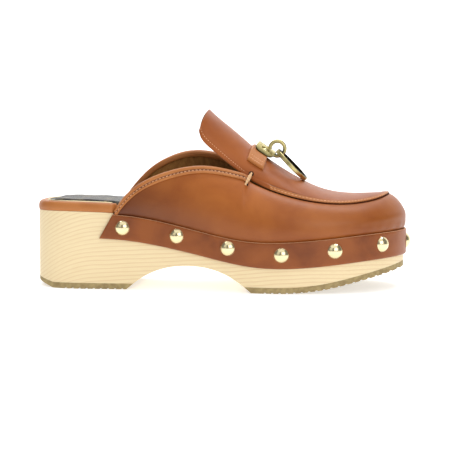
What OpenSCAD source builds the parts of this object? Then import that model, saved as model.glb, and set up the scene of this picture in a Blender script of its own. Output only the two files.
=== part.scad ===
// Wooden clog for the right foot: a platform sole of wood with rubber treads, a leather upper with
// a raised apron and tongue, a nailed leather rand, and two loose rings on the instep.
// The toe points along +X, +Z is up, and the outer side of the foot is -Y. The origin is on the
// ground under the middle of the heel. Sizes are in millimetres.

/* [Sole] */
// Length of the wood, from the back of the heel to the toe
sole_length = 257; // [214:1:309]
// Width of the wood across the ball of the foot
ball_width = 91; // [76:0.5:110]
// Width of the wood at the heel
heel_width = 63.5; // [56:0.5:74]
// Height of the wood's top edge at the heel
heel_height = 53.6; // [46:0.1:64.5]
// Height of the wood's top edge at the ball of the foot
ball_height = 35; // [31:0.1:42]
// Height of the wood's top edge at the toe
toe_height = 41.6; // [37:0.1:50]
// Rise of the arch between the heel and the forepart
arch_rise = 17.2; // [10:0.1:20]
// Length of the arch along the ground
arch_length = 87.5; // [70:0.5:105]
// Thickness of the rubber treads
tread_t = 4; // [3:0.1:5]
// Distance between the grooves in the treads
groove_pitch = 5; // [4:0.1:8]

/* [Footbed] */
// Thickness of the foam pad
pad_t = 5.3; // [4:0.1:7]
// Thickness of the leather over the pad
sock_t = 1.2; // [0.8:0.1:1.6]
// Width of the leather turned in over the edge of the pad
rim_turn = 6; // [4:0.1:10]

/* [Upper] */
// Thickness of the outer leather
leather_t = 1.6; // [1.2:0.1:1.9]
// Thickness of the lining
lining_t = 0.8; // [0.6:0.1:1]
// Thickness of the toe stiffener between the leather and the lining
puff_t = 0.8; // [0.6:0.1:1]
// How far the wall swells out above the rand
wall_bulge = 5.4; // [3:0.1:6]
// Height of the top of the tongue above the wood
tongue_height = 82.8; // [68:0.1:100]
// How far the apron's cut edge stands proud of the wall
apron_step = 0.9; // [0.5:0.1:1.2]
// Width of the binding along the topline
binding_w = 5.2; // [4:0.1:7]
// Thickness of the binding
binding_t = 0.8; // [0.5:0.1:1]

/* [Rand and nails] */
// Width of the leather band around the joint
rand_w = 17.2; // [15:0.1:20]
// Thickness of the band
rand_t = 2; // [1.5:0.1:2.5]
// Diameter of the nails' domed heads
nail_d = 10.6; // [8:0.1:12]
// Height of the domed heads
nail_rise = 3; // [2:0.1:3.6]
// Number of nails on each side of the one at the toe
nails_a_side = 6; // [4:1:8]
// Distance of the last nail from the slanted end of the band
nail_end = 11.5; // [8:0.5:16]

/* [Instep ornament] */
// Width of the strap, along the foot
strap_w = 13; // [10:0.5:16]
// Thickness of the strap
strap_t = 2; // [1.5:0.1:2.4]
// Distance from the strap to the end of the tongue
strap_back = 39.5; // [34:0.5:46]
// Length of the bridge plate, along the foot
plate_l = 14.2; // [12:0.1:16]
// Width of the bridge plate, across the foot
plate_w = 26; // [22:0.1:30]
// Thickness of the bridge plate
plate_t = 1.8; // [1.2:0.1:2]
// Outer diameter of the small ring
small_ring_d = 13; // [12.5:0.1:15]
// Wire diameter of the small ring
small_wire = 2.6; // [2.2:0.1:2.8]
// Outer diameter of the large ring
large_ring_d = 29; // [23:0.1:33]
// Width of the large ring's band
large_wire = 3; // [2.5:0.1:3.2]
// Thickness of the large ring's band
large_deep = 2.2; // [1.8:0.1:2.4]
// Diameter of the rivets' shanks
rivet_d = 2; // [1.5:0.1:2.4]

/* [Hidden] */

// The length that the control points below are drawn at; the shapes are graded from it
drawn_length = 257;
drawn_width = 91;
drawn_tongue = 82.8;
$fn = 48;
grade = sole_length / drawn_length;
gap = 0.1; // between layers that lie on each other
tall = 160; // more than the height of the clog
wide = 90; // more than half its width

// Leather in the sole's rebate, from the rand inwards
vamp_face = gap;
facet_room = 0.35; // for the flat facets of the wall against the curved wood
lasting_depth = vamp_face + leather_t + gap + lining_t + facet_room;

// Outline of the wood from above, from the back of the heel along the outer side and back along the
// inner side: x, then y as a share of half the heel's width (kind 0) or of half the ball's (kind 1)
plan = [
  [-36.2, 0, 0], [-34.5, -0.62, 0], [-18, -1, 0], [8, -1.02, 0], [36, -1.03, 0],
  [64, -0.78, 1], [92, -0.88, 1], [120, -1.03, 1], [148, -1.05, 1], [176, -0.97, 1],
  [202, -0.68, 1], [217, -0.28, 1], [223.6, 0.16, 1], [217, 0.6, 1], [198, 0.88, 1],
  [172, 0.985, 1], [144, 1, 1], [116, 0.9, 1], [88, 0.78, 1], [60, 1.03, 0],
  [32, 1.02, 0], [4, 1.02, 0], [-20, 1, 0], [-34.5, 0.62, 0]
];
plan_points = [for (p = plan) [p.x * grade, p.y * (p.z == 1 ? ball_width : heel_width) / 2]];
plan_count = len(plan);
plan_steps = 5; // sides to each control point of the outline

// Height of the wood's top edge at stations along the foot: shares of the drop from heel to ball,
// then of the rise from ball to toe
top_first = -40;
top_pitch = 20;
heel_share = [1, 1.02, 1, 0.97, 0.87, 0.66, 0.4, 0.15, 0, 0, 0, 0, 0, 0, 0];
toe_share = [0, 0, 0, 0, 0, 0, 0, 0, 0.02, 0.06, 0.28, 0.6, 0.88, 1.02, 1.1];
top_heights = [
  for (i = [0 : len(heel_share) - 1])
    ball_height + (heel_height - ball_height) * heel_share[i] + (toe_height - ball_height) * toe_share[i]
];

// Underside: the arch is a flattened curve, the toe springs up along an arc and then a line
arch_first = 30.5 * grade;
arch_power = 2.3;
spring_from = 136 * grade;
spring_radius = 187 * grade;
spring_angle = 13;
heel_bevel_from = -22 * grade;
heel_bevel = 0.36; // slope of the tread behind that place
wood_bevel = 0.26; // slope of the wood above it
groove_w = 1.5;
groove_deep = 0.6;

// Rand
rand_top = 0.8; // below the wood's top edge
// How much wider than its named width the band is at the same stations as the wood's top edge
rand_swell = [0, 0, 0, 0, 0, -0.2, -0.9, -0.8, -0.1, 0.7, 0.9, 0.9, 0.7, 0.4, 0.3];
rand_end_outer = 21.5 * grade; // where the band's top edge ends
rand_end_inner = 15.7 * grade;
rand_slant = 0.55; // how far back the slanted ends run for each unit down
margin_short = 2.5; // how far the lasting margin stops above the band's lower edge

// Top line of the wall, from the outer heel end to the toe and back: place on the plan outline,
// distance inwards from it, and height above the wood
top_line = [
  [3.5, 0.2, 0.6], [3.61, -0.2, 5], [3.76, -0.6, 11], [4.07, -0.4, 20.5], [4.57, 1.2, 30],
  [5.1, 3.8, 38], [5.67, 7.2, 44.2], [6.15, 10, 44.9], [6.48, 11.9, 44], [6.67, 12.8, 43.2],
  [6.72, 12.8, 41.6], [6.76, 12.8, 39.6], [6.84, 12.7, 38.2], [7.17, 12.5, 35],
  [7.83, 11.2, 29], [8.36, 10, 25], [8.88, 9.4, 22], [9.44, 9.5, 20.2], [10, 9.7, 20.2],
  [10.67, 9.5, 21.4], [11.3, 9.7, 23.2], [11.95, 10, 24], [12.68, 10.2, 23.2],
  [13.4, 9.9, 21.4], [14.05, 9, 20.6], [14.63, 8.6, 21.2], [15.2, 8.6, 23.4],
  [15.72, 8.7, 26.4], [16.25, 8.8, 30.6], [16.77, 8.6, 36], [17.02, 8.4, 39.2],
  [17.09, 8.3, 41.4], [17.14, 8.3, 44], [17.22, 8.1, 46.2], [17.5, 6.9, 48.6],
  [17.9, 4.9, 51], [18.4, 2.5, 50.6], [18.88, 0.6, 46.4], [19.34, -0.4, 38.6],
  [19.74, -0.8, 30], [20.05, -0.8, 20], [20.27, -0.6, 11.5], [20.42, -0.2, 5], [20.55, 0.2, 0.6]
];
top_last = len(top_line) - 1;
seam_outer = 13.2; // places on the top line where the apron's seam leaves the collar
seam_inner = 29;
toe_outer = 19.4; // and where the seam turns across the toe
toe_inner = 23.2;
collar_outer = 9.6; // places where the bindings end, under the tongue
collar_inner = 32.8;

// Apron and tongue: the edges behind the seam, as x, y and height above the wood
// (drawn for the outer side and mirrored for the inner one)
tongue_edge = [
  [117, -30, 39.5], [110, -27.6, 44], [100.4, -27.2, 49.6], [91, -26.8, 55.6], [84.6, -26.6, 59.6],
  [81.4, -26.2, 62.6], [80.2, -25, 67]
];
seam_part = 0.6; // share of the apron's length that the seam takes
// Ridge line from the toe to the end of the tongue: x, height above the wood as a share of the
// tongue's, and how upright the cross-section's sides are
ridge = [
  [211.5, 0.296, 0.5], [197, 0.304, 0.45], [180, 0.322, 0.45], [163, 0.376, 0.5], [147, 0.487, 0.56],
  [131, 0.624, 0.64], [115, 0.752, 0.74], [104, 0.849, 0.84], [94, 0.927, 0.9], [85.1, 1, 0.92]
];

// Ornament; its own directions are the ridge's at its foot: X down the ridge, Z out from it
rest_gap = 0.3; // between the lowered large ring and the apron
ring_height = 9; // of the small ring's centre above the ridge
ring_ahead = 15.8; // of the strap's back edge, along the ridge
link_reach = 2.1; // of the large ring's wire from the small ring's centre
link_angle = -24; // of that place, from the ridge's own direction
ring_yaw = 14; // how far the large ring lies over to the outer side
corner_r = 0.7; // of the large ring's section
tunnel_clear = 0.2; // around the small ring where it passes through the plate
strap_share = 0.158; // of the apron's width that the strap leaves bare at each side
strap_lift = 0.2; // of the strap above the apron
strap_sweep = 2.3; // how far the strap's ends run back
strap_narrow = 1.4; // how much narrower they are
strap_hollow = 0.6; // allowance for the hollow of the ridge line under the plate
plate_forward = 3.1; // of the plate's middle from the strap's, along the ridge
plate_corner = 4;
plate_rise = 2; // of the plate's underside above the strap in the middle
plate_edge_t = 0.9; // thickness of its lowered edges
rivet_in = 4.5; // from the plate's edge to the rivets
rivet_tilt = 15;
recess_l = 6.4;
recess_w = 3.6;
recess_deep = 0.6;
rivet_head_d = 3.2;
rivet_head_rise = 1;
rivet_end_d = 3.2;
rivet_end_rise = 0.7;
washer_d = 5;
washer_t = 0.8;
washer_lift = 0.35;

// Nails, tacks and threads
// How far the hand-set nails stray from an even row: share of the way from the toe, then the
// distances towards the toe and up
nail_stray = [[0, 0, 0], [0.17, -0.4, 1.1], [0.33, 0.4, 0.6], [0.5, 1.1, 0.5],
  [0.67, 0.9, 1.7], [0.83, 1.5, 1.3], [1, 0, 0]];
nail_shank_d = 1.8;
nail_shank = 14;
tack_head_d = 4.4;
tack_head_t = 0.5;
tack_d = 1.4;
tack_l = 9;
bar_d = 2.2;
tack_outer = 10.1; // places of the bar tacks' lower ends on the top line, by the collar's corners
tack_inner = 32.1;
tack_low = 0.85; // share of the wall's height there
tack_u = 0.663; // their upper ends on the apron: along its edge and across
tack_across = 0.055;
bind_gap = 0.25; // between the bindings and the wall
leg_short = 0.3; // from a binding's outer edge to the rand
leg_in_short = 1.6; // and from its inner edge to the rand's level
seam_inset = 0.35; // of the apron's cut edge from the wall's
toe_blend = 0.2; // share of the apron over which the curve of the toe fades out

// Grids of the upper
wall_sides = 72;
wall_rows = 9;
margin_rows = 1;
apron_sides = 14;
apron_rows = 30;

// --- Curves ---------------------------------------------------------------------------------------
function blend3(a, b, c, d, f) =
  (pow(1 - f, 3) * a + (3 * f * f * f - 6 * f * f + 4) * b + (-3 * f * f * f + 3 * f * f + 3 * f + 1) * c
   + f * f * f * d) / 6;

// A smooth curve near its control points that starts and ends on the first and last of them
function spline(c, t) =
  let (n = len(c) - 1, i = max(0, min(floor(t), n - 1)), f = t - i)
  blend3(i == 0 ? 2 * c[0] - c[1] : c[i - 1], c[i], c[i + 1], i == n - 1 ? 2 * c[n] - c[n - 1] : c[i + 2], f);

function loop_point(c, i) = c[(i + len(c)) % len(c)];
function loop_spline(c, t) =
  let (i = floor(t), f = t - i)
  blend3(loop_point(c, i - 1), loop_point(c, i), loop_point(c, i + 1), loop_point(c, i + 2), f);

function bezier(a, b, c, d, t) =
  pow(1 - t, 3) * a + 3 * pow(1 - t, 2) * t * b + 3 * (1 - t) * t * t * c + t * t * t * d;
function unit(v) = v / norm(v);
function ease(t) = let (c = max(0, min(1, t))) c * c * (3 - 2 * c);

// --- The sole's outline and heights ---------------------------------------------------------------
function rim(s) = loop_spline(plan_points, s);
function rim_normal(s) = let (d = unit(rim(s + 0.01) - rim(s - 0.01))) [d.y, -d.x];
function outline(out) =
  [for (i = [0 : plan_count * plan_steps - 1]) let (s = i / plan_steps) rim(s) + out * rim_normal(s)];
function wood_top(x) = spline(top_heights, (x / grade - top_first) / top_pitch);
function rand_high(x) = wood_top(x) - rand_top;
function rand_width(x) = rand_w + spline(rand_swell, (x / grade - top_first) / top_pitch);
function rand_low(x) = rand_high(x) - rand_width(x);
function margin_low(x) = rand_low(x) + margin_short;
function toe_spring(x) =
  let (straight = spring_from + spring_radius * sin(spring_angle))
  x < spring_from ? 0
  : x < straight ? spring_radius - sqrt(spring_radius * spring_radius - pow(x - spring_from, 2))
  : spring_radius * (1 - cos(spring_angle)) + (x - straight) * tan(spring_angle);
function heel_slope(x, slope) = max(0, heel_bevel_from - x) * slope;
function tread_line(x) = tread_t + toe_spring(x) + heel_slope(x, wood_bevel);
function ground_line(x) = toe_spring(x) + heel_slope(x, heel_bevel);
function arch_x(u) = arch_first + arch_length * (1 + u) / 2;
function arch_z(u) = arch_rise * (1 - pow(abs(u), arch_power));
arch_meet = pow(1 - tread_t / arch_rise, 1 / arch_power); // where the arch crosses the tread line

back_x = -45 * grade;
front_x = 235 * grade;
stations = [back_x : 5 * grade : front_x];

// --- Solids from profiles -------------------------------------------------------------------------
module side_block(profile) {
  rotate([90, 0, 0])
    linear_extrude(height = 2 * wide, center = true) polygon(profile);
}

module plan_block(out) {
  linear_extrude(height = tall) polygon(outline(out));
}

// The part of the clog in front of (or behind) a place on each side
module zone(outer_x, inner_x, front) {
  reach = 300 * grade;
  translate([front ? outer_x : outer_x - reach, -wide, 0]) cube([reach, wide, tall]);
  translate([front ? inner_x : inner_x - reach, 0, 0]) cube([reach, wide, tall]);
}

function band_profile(low, high) =
  concat([for (x = stations) [x, high(x)]],
         [for (i = [0 : 56]) let (x = front_x - i * 5 * grade) [x, low(x)]]);

// A slab that follows the wood's top, between two heights above it
module top_layer(from, to) {
  side_block(band_profile(function (x) wood_top(x) + from, function (x) wood_top(x) + to));
}

// --- Sole -----------------------------------------------------------------------------------------
wood_profile = concat(
  [for (x = stations) [x, wood_top(x)]],
  [for (i = [0 : 28]) let (x = front_x - i * 4 * grade) if (x > arch_x(arch_meet) + 1) [x, tread_line(x)]],
  [for (i = [14 : -1 : -14]) let (u = i * arch_meet / 14) [arch_x(u), arch_z(u)]],
  [[arch_x(-arch_meet) - 1, tread_t], [heel_bevel_from, tread_t], [back_x, tread_line(back_x)]]
);

module rebate() {
  intersection() {
    difference() {
      plan_block(8);
      plan_block(-lasting_depth);
    }
    side_block(band_profile(margin_low_at, over_top));
    zone(rand_end_outer, rand_end_inner, true);
  }
}
margin_low_at = function (x) margin_low(x);
over_top = function (x) tall;

module wood_sole() {
  color("burlywood")
    difference() {
      intersection() {
        plan_block(0);
        side_block(wood_profile);
      }
      rebate();
    }
}

module grooves(from, to) {
  first = ceil((from + groove_pitch / 2) / groove_pitch);
  last = floor((to - groove_pitch / 2) / groove_pitch);
  for (i = [first : last]) {
    x = (i + 0.5) * groove_pitch;
    translate([x - groove_w / 2, -wide, ground_line(x) - groove_deep])
      cube([groove_w, 2 * wide, 2 * groove_deep]);
  }
}

module heel_tread() {
  profile = concat(
    [[back_x, tread_line(back_x)], [heel_bevel_from, tread_t]],
    [for (i = [4 : -1 : 0]) let (u = -1 + (1 - arch_meet) * i / 4) [arch_x(u), max(0, arch_z(u))]],
    [[heel_bevel_from, 0], [back_x, ground_line(back_x)]]
  );
  color("darkkhaki")
    difference() {
      intersection() {
        plan_block(0);
        side_block(profile);
      }
      grooves(heel_bevel_from, arch_first - groove_w);
    }
}

module forepart_tread() {
  profile = concat(
    [for (i = [0 : 4]) let (u = 1 - (1 - arch_meet) * i / 4) [arch_x(u), max(0, arch_z(u))]],
    [for (x = [arch_x(arch_meet) + 1 : 4 : front_x]) [x, tread_line(x)]],
    [for (i = [0 : 60]) let (x = front_x - i * 2 * grade) if (x > arch_x(1) + 1) [x, ground_line(x)]]
  );
  color("darkkhaki")
    difference() {
      intersection() {
        plan_block(0);
        side_block(profile);
      }
      grooves(arch_x(1) + groove_w, front_x);
    }
}

// --- Footbed --------------------------------------------------------------------------------------
front_inset = lasting_depth + 0.9;
rim_front = 0.3; // between the rim's ends and the collar

module footbed_pad() {
  color("tan")
    intersection() {
      union() {
        intersection() {
          plan_block(-sock_t - gap);
          zone(rand_end_outer - rim_front, rand_end_inner - rim_front, false);
        }
        intersection() {
          plan_block(-front_inset);
          zone(rand_end_outer - rim_front, rand_end_inner - rim_front, true);
        }
      }
      top_layer(0, pad_t);
    }
}

module footbed_rim() {
  color("sienna")
    intersection() {
      union() {
        intersection() {
          difference() {
            plan_block(0);
            plan_block(-sock_t);
          }
          top_layer(0, pad_t + sock_t);
        }
        intersection() {
          difference() {
            plan_block(-sock_t / 2);
            plan_block(-rim_turn);
          }
          top_layer(pad_t, pad_t + sock_t);
        }
      }
      zone(rand_end_outer - rim_front, rand_end_inner - rim_front, false);
    }
}

module sock_liner() {
  color("dimgray")
    intersection() {
      union() {
        intersection() {
          plan_block(-rim_turn - gap);
          zone(rand_end_outer - rim_front, rand_end_inner - rim_front, false);
        }
        intersection() {
          plan_block(-front_inset);
          zone(rand_end_outer - rim_front, rand_end_inner - rim_front, true);
        }
      }
      top_layer(pad_t, pad_t + sock_t);
    }
}

// --- Skins ----------------------------------------------------------------------------------------
// A grid is a list of rows of points; its outward side is the cross product of the way along the
// rows' list and the way along a row
function grid_normals(g) =
  let (m = len(g) - 1, n = len(g[0]) - 1)
  [for (i = [0 : m])
    [for (j = [0 : n])
      unit(cross(g[min(i + 1, m)][j] - g[max(i - 1, 0)][j], g[i][min(j + 1, n)] - g[i][max(j - 1, 0)]))]];

// The grid moved out by a distance, which may differ from place to place
function grid_moved(g, normals, out) =
  [for (i = [0 : len(g) - 1]) [for (j = [0 : len(g[0]) - 1]) g[i][j] + normals[i][j] * out(i, j)]];

function grid_part(g, i0, i1, j0, j1) = [for (i = [i0 : i1]) [for (j = [j0 : j1]) g[i][j]]];

function flat(g) = [for (row = g) each row];
function quad(a, b, c, d) = [[a, b, c], [a, c, d]];

// A closed skin between an outer and an inner grid of the same size
module skin(outer, inner) {
  m = len(outer) - 1;
  n = len(outer[0]) - 1;
  size = (m + 1) * (n + 1);
  function at(i, j) = i * (n + 1) + j;
  faces = concat(
    [for (i = [0 : m - 1], j = [0 : n - 1])
       each quad(at(i, j), at(i, j + 1), at(i + 1, j + 1), at(i + 1, j))],
    [for (i = [0 : m - 1], j = [0 : n - 1])
      each quad(size + at(i, j), size + at(i + 1, j), size + at(i + 1, j + 1), size + at(i, j + 1))],
    [for (i = [0 : m - 1]) each quad(at(i, 0), at(i + 1, 0), size + at(i + 1, 0), size + at(i, 0))],
    [for (i = [0 : m - 1]) each quad(at(i, n), size + at(i, n), size + at(i + 1, n), at(i + 1, n))],
    [for (j = [0 : n - 1]) each quad(at(0, j), size + at(0, j), size + at(0, j + 1), at(0, j + 1))],
    [for (j = [0 : n - 1]) each quad(at(m, j), at(m, j + 1), size + at(m, j + 1), size + at(m, j))]
  );
  polyhedron(points = concat(flat(outer), flat(inner)), faces = faces, convexity = 10);
}

// --- Wall of the upper ----------------------------------------------------------------------------
// Point of the top line for a row of the table above
function top_point(k) =
  let (p = rim(k.x) - k.y * rim_normal(k.x))
  [p.x, p.y, wood_top(p.x) + k.z];

// Outer face of the wall over one place: v from -1 at the foot of the lasting margin, 0 at the rand's
// top edge, to 1 at the top line
function wall_point(k, v) =
  let (
    n = rim_normal(k.x),
    p = rim(k.x) - vamp_face * n,
    foot = [p.x, p.y, rand_high(p.x) + gap],
    low = [p.x, p.y, margin_low(p.x) + gap],
    top = top_point(k),
    rise = max(0.5, top.z - foot.z),
    swell = wall_bulge * min(1, rise / 25),
    b = foot + [n.x * swell, n.y * swell, rise * 0.33],
    c = [top.x + (foot.x - top.x) * 0.85, top.y + (foot.y - top.y) * 0.85, top.z - rise * 0.15]
  )
  v < 0 ? foot + (low - foot) * -v : bezier(foot, b, c, top, v);

function wall_v(j) = j <= margin_rows ? j / margin_rows - 1 : (j - margin_rows) / (wall_rows - margin_rows);
wall_grid = [
  for (i = [0 : wall_sides])
    let (k = spline(top_line, i * top_last / wall_sides))
    [for (j = [0 : wall_rows]) wall_point(k, wall_v(j))]
];
wall_normals = grid_normals(wall_grid);

// The stiffener's share of the room between leather and lining: 1 around the toe, 0 at the sides
function puff_share(i, j) =
  let (q = i * top_last / wall_sides)
  ease((q - 15) / 3) * ease((27.5 - q) / 3) * ease(wall_v(j) / 0.25);

module vamp() {
  color("sienna")
    skin(wall_grid, grid_moved(wall_grid, wall_normals, function (i, j) -leather_t));
}

module vamp_lining() {
  room = puff_t + gap;
  face = function (i, j) -(leather_t + gap + room * puff_share(i, j));
  back = function (i, j) face(i, j) - lining_t;
  color("peru")
    skin(grid_moved(wall_grid, wall_normals, face), grid_moved(wall_grid, wall_normals, back));
}

module toe_puff() {
  first = ceil(18 * wall_sides / top_last);
  last = floor(24.5 * wall_sides / top_last);
  part = grid_part(wall_grid, first, last, margin_rows + 2, wall_rows);
  normals = grid_part(wall_normals, first, last, margin_rows + 2, wall_rows);
  color("beige")
    skin(
      grid_moved(part, normals, function (i, j) -(leather_t + gap)),
      grid_moved(part, normals, function (i, j) -(leather_t + gap + puff_t))
    );
}

// --- Apron and tongue -----------------------------------------------------------------------------
// Edge of the apron on one side: along the seam for u up to seam_part, then along the tongue
function seam_point(q) =
  let (k = spline(top_line, q), n = rim_normal(k.x))
  top_point(k) + [-n.x * seam_inset, -n.y * seam_inset, apron_step];
function tongue_point(row, side) =
  let (x = row.x * grade)
  [x, row.y * side * ball_width / drawn_width, wood_top(x) + row.z * tongue_height / drawn_tongue];
function edge_point(u, toe_q, collar_q, side) =
  let (c = concat([seam_point(collar_q)], [for (row = tongue_edge) tongue_point(row, side)]))
  u <= seam_part ? seam_point(toe_q + (collar_q - toe_q) * u / seam_part)
  : spline(c, (u - seam_part) / (1 - seam_part) * (len(c) - 1));
function ridge_row(u) = spline(ridge, u * (len(ridge) - 1));
function ridge_point(u) =
  let (k = ridge_row(u), x = k.x * grade)
  [x, 0, wood_top(x) + k.y * tongue_height];

// The four Bezier points of the cross-section at u, whose middle lies on the ridge
function apron_section(u) =
  let (
    a = edge_point(u, toe_outer, seam_outer, 1),
    d = edge_point(u, toe_inner, seam_inner, -1),
    mid = ridge_point(u),
    lift = (8 * mid.z - a.z - d.z) / 6,
    ahead = (8 * mid.x - a.x - d.x) / 6,
    upright = ridge_row(u).z
  )
  [a, [ahead, a.y * upright, lift], [ahead, d.y * upright, lift], d];
function section_point(s, w) = bezier(s[0], s[1], s[2], s[3], w);
toe_section = apron_section(0);

// Point of the apron, w from 0 at the outer edge to 1 at the inner edge; the front follows the seam
function apron_point(s, u, w) =
  let (turn = pow(1 - min(1, u / toe_blend), 2))
  section_point(s, w)
  + (turn == 0 ? [0, 0, 0]
     : turn * (seam_point(toe_outer + (toe_inner - toe_outer) * w) - section_point(toe_section, w)));

function apron_patch(us, ws) =
  let (sections = [for (u = us) apron_section(u)])
  [for (w = ws) [for (j = [0 : len(us) - 1]) apron_point(sections[j], us[j], w)]];
apron_grid = apron_patch(
  [for (j = [0 : apron_rows]) j / apron_rows], [for (i = [0 : apron_sides]) i / apron_sides]
);
apron_normals = grid_normals(apron_grid);

module apron() {
  color("sienna")
    skin(apron_grid, grid_moved(apron_grid, apron_normals, function (i, j) -leather_t));
}

module apron_lining() {
  depth = leather_t + gap;
  g = grid_part(apron_grid, 0, apron_sides, 1, apron_rows);
  n = grid_part(apron_normals, 0, apron_sides, 1, apron_rows);
  color("peru")
    skin(
      grid_moved(g, n, function (i, j) -depth),
      grid_moved(g, n, function (i, j) -(depth + lining_t))
    );
}

// --- Collar bindings ------------------------------------------------------------------------------
// One column of the wall from the top line down: distance, point, normal
function column(i) =
  [for (j = wall_rows, s = 0; j >= margin_rows;
        s = s + norm(wall_grid[i][j] - wall_grid[i][max(j - 1, 0)]), j = j - 1)
    [s, wall_grid[i][j], wall_normals[i][j]]];
function down_wall(c, s, out) =
  [for (axis = [0 : 2]) lookup(s, [for (r = c) [r[0], r[1][axis] + out * r[2][axis]]])];

// A strip folded over the top of the wall, from one of its columns to another
module binding(from, to) {
  outside = bind_gap + binding_t;
  inside = -(leather_t + gap + lining_t + bind_gap);
  far_in = inside - binding_t;
  function section(i) =
    let (
      c = column(i),
      drop = c[len(c) - 1][0],
      leg = min(binding_w, drop - leg_short),
      leg_in = min(binding_w, drop - leg_in_short),
      top = c[0][1],
      out = c[0][2],
      up = unit(top - down_wall(c, 1.5, 0))
    )
    [
      down_wall(c, leg, outside), down_wall(c, leg / 2, outside), top + out * outside + up * binding_t / 2,
      top + up * outside, top + out * inside * 0.9 + up * outside, top + out * far_in + up * binding_t / 2,
      down_wall(c, leg_in / 2, far_in), down_wall(c, leg_in, far_in),
      down_wall(c, leg_in, inside), down_wall(c, leg_in / 2, inside), top + out * inside + up * bind_gap,
      top + out * bind_gap + up * bind_gap, down_wall(c, leg / 2, bind_gap), down_wall(c, leg, bind_gap)
    ];
  sections = [for (i = [from : to]) section(i)];
  count = len(sections[0]);
  last = to - from;
  function at(i, j) = i * count + (j % count);
  cap = concat(
    quad(0, 1, 12, 13), quad(1, 2, 11, 12), [[2, 3, 11]], quad(3, 4, 10, 11), [[4, 5, 10]],
    quad(5, 6, 9, 10), quad(6, 7, 8, 9)
  );
  faces = concat(
    [for (i = [0 : last - 1], j = [0 : count - 1])
      each quad(at(i, j), at(i, j + 1), at(i + 1, j + 1), at(i + 1, j))],
    [for (f = cap) [f[2], f[1], f[0]]],
    [for (f = cap) [at(last, f[0]), at(last, f[1]), at(last, f[2])]]
  );
  polyhedron(points = flat(sections), faces = faces, convexity = 10);
}
function wall_column(q) = round(q * wall_sides / top_last);

module collar_binding_lateral() {
  color("tan") binding(1, wall_column(collar_outer));
}

module collar_binding_medial() {
  color("tan") binding(wall_column(collar_inner), wall_sides - 1);
}

// --- Rand, nails and tacks ------------------------------------------------------------------------
function rand_end_low(end) = end - rand_slant * rand_width(end);
function rand_profile(end) = concat(
  [[end, rand_high(end)]],
  [for (x = stations) if (x > end + 1) [x, rand_high(x)]],
  [for (i = [0 : 56]) let (x = front_x - i * 5 * grade) if (x > rand_end_low(end) + 1) [x, rand_low(x)]],
  [[rand_end_low(end), rand_low(rand_end_low(end))]]
);

module half_block(profile, outer) {
  rotate([90, 0, 0])
    translate([0, 0, outer ? 0 : -wide])
      linear_extrude(height = wide) polygon(profile);
}

module rand_band() {
  color("saddlebrown")
    intersection() {
      difference() {
        plan_block(rand_t);
        plan_block(0);
      }
      union() {
        half_block(rand_profile(rand_end_outer), true);
        half_block(rand_profile(rand_end_inner), false);
      }
    }
}

// Distances along the wood's edge from the toe, for places on the plan outline; the way is -1 along
// the outer side and 1 along the inner side
toe_place = 12;
place_step = 0.1;
function distances(way) =
  [for (i = 0, a = 0; i <= 90;
        a = a + norm(rim(toe_place + way * (i + 1) * place_step) - rim(toe_place + way * i * place_step)),
        i = i + 1)
    [a, toe_place + way * i * place_step]];
outer_places = distances(-1);
inner_places = distances(1);

// Length of the rand from the toe to its end on one side, at mid-height
function end_distance(places, end) =
  let (x = (end + rand_end_low(end)) / 2, past = [for (p = places) if (rim(p[1]).x > x) p[0]])
  past[len(past) - 1];
outer_reach = end_distance(outer_places, rand_end_outer) - nail_end;
inner_reach = end_distance(inner_places, rand_end_inner) - nail_end;

// Puts something on the rand's middle line, pointing outwards along +Z, a distance out from the wood;
// the share runs from 0 at the toe to 1 at the last nail
module on_rand(share, outer, out, stray) {
  ahead = stray ? lookup(share, [for (row = nail_stray) [row[0], row[1]]]) : 0;
  up = stray ? lookup(share, [for (row = nail_stray) [row[0], row[2]]]) : 0;
  s = outer ? lookup(share * outer_reach - ahead, outer_places)
            : lookup(share * inner_reach - ahead, inner_places);
  p = rim(s);
  n = rim_normal(s);
  translate([p.x + n.x * out, p.y + n.y * out, rand_high(p.x) - rand_width(p.x) / 2 + up])
    rotate([0, 90, atan2(n.y, n.x)]) children();
}

module dome(d, rise) {
  r = (d * d / 4 + rise * rise) / (2 * rise);
  intersection() {
    translate([0, 0, rise - r]) sphere(r = r);
    cylinder(d = d + 1, h = rise + 1);
  }
}

module dome_nail() {
  dome(nail_d, nail_rise);
  translate([0, 0, -nail_shank]) cylinder(d = nail_shank_d, h = nail_shank + nail_rise / 2);
}

module dome_nails() {
  color("palegoldenrod") {
    on_rand(0, true, rand_t, true) dome_nail();
    for (i = [1 : nails_a_side], outer = [true, false])
      on_rand(i / nails_a_side, outer, rand_t, true) dome_nail();
  }
}

module lasting_tacks() {
  color("gray")
    for (i = [1 : nails_a_side], outer = [true, false])
      on_rand((i - 0.5) / nails_a_side, outer, -vamp_face - gap, false) {
        translate([0, 0, -tack_head_t]) cylinder(d = tack_head_d, h = tack_head_t);
        translate([0, 0, -tack_l]) cylinder(d = tack_d, h = tack_l);
      }
}

// --- Instep ornament ------------------------------------------------------------------------------
// Distances along the ridge from the end of the tongue
ridge_places =
  [for (i = 0, a = 0; i <= 80;
        a = a + norm(ridge_point(1 - (i + 1) * 0.01) - ridge_point(1 - i * 0.01)),
        i = i + 1)
     [a, 1 - i * 0.01]];
function ridge_u(distance) = lookup(distance, ridge_places);

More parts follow.
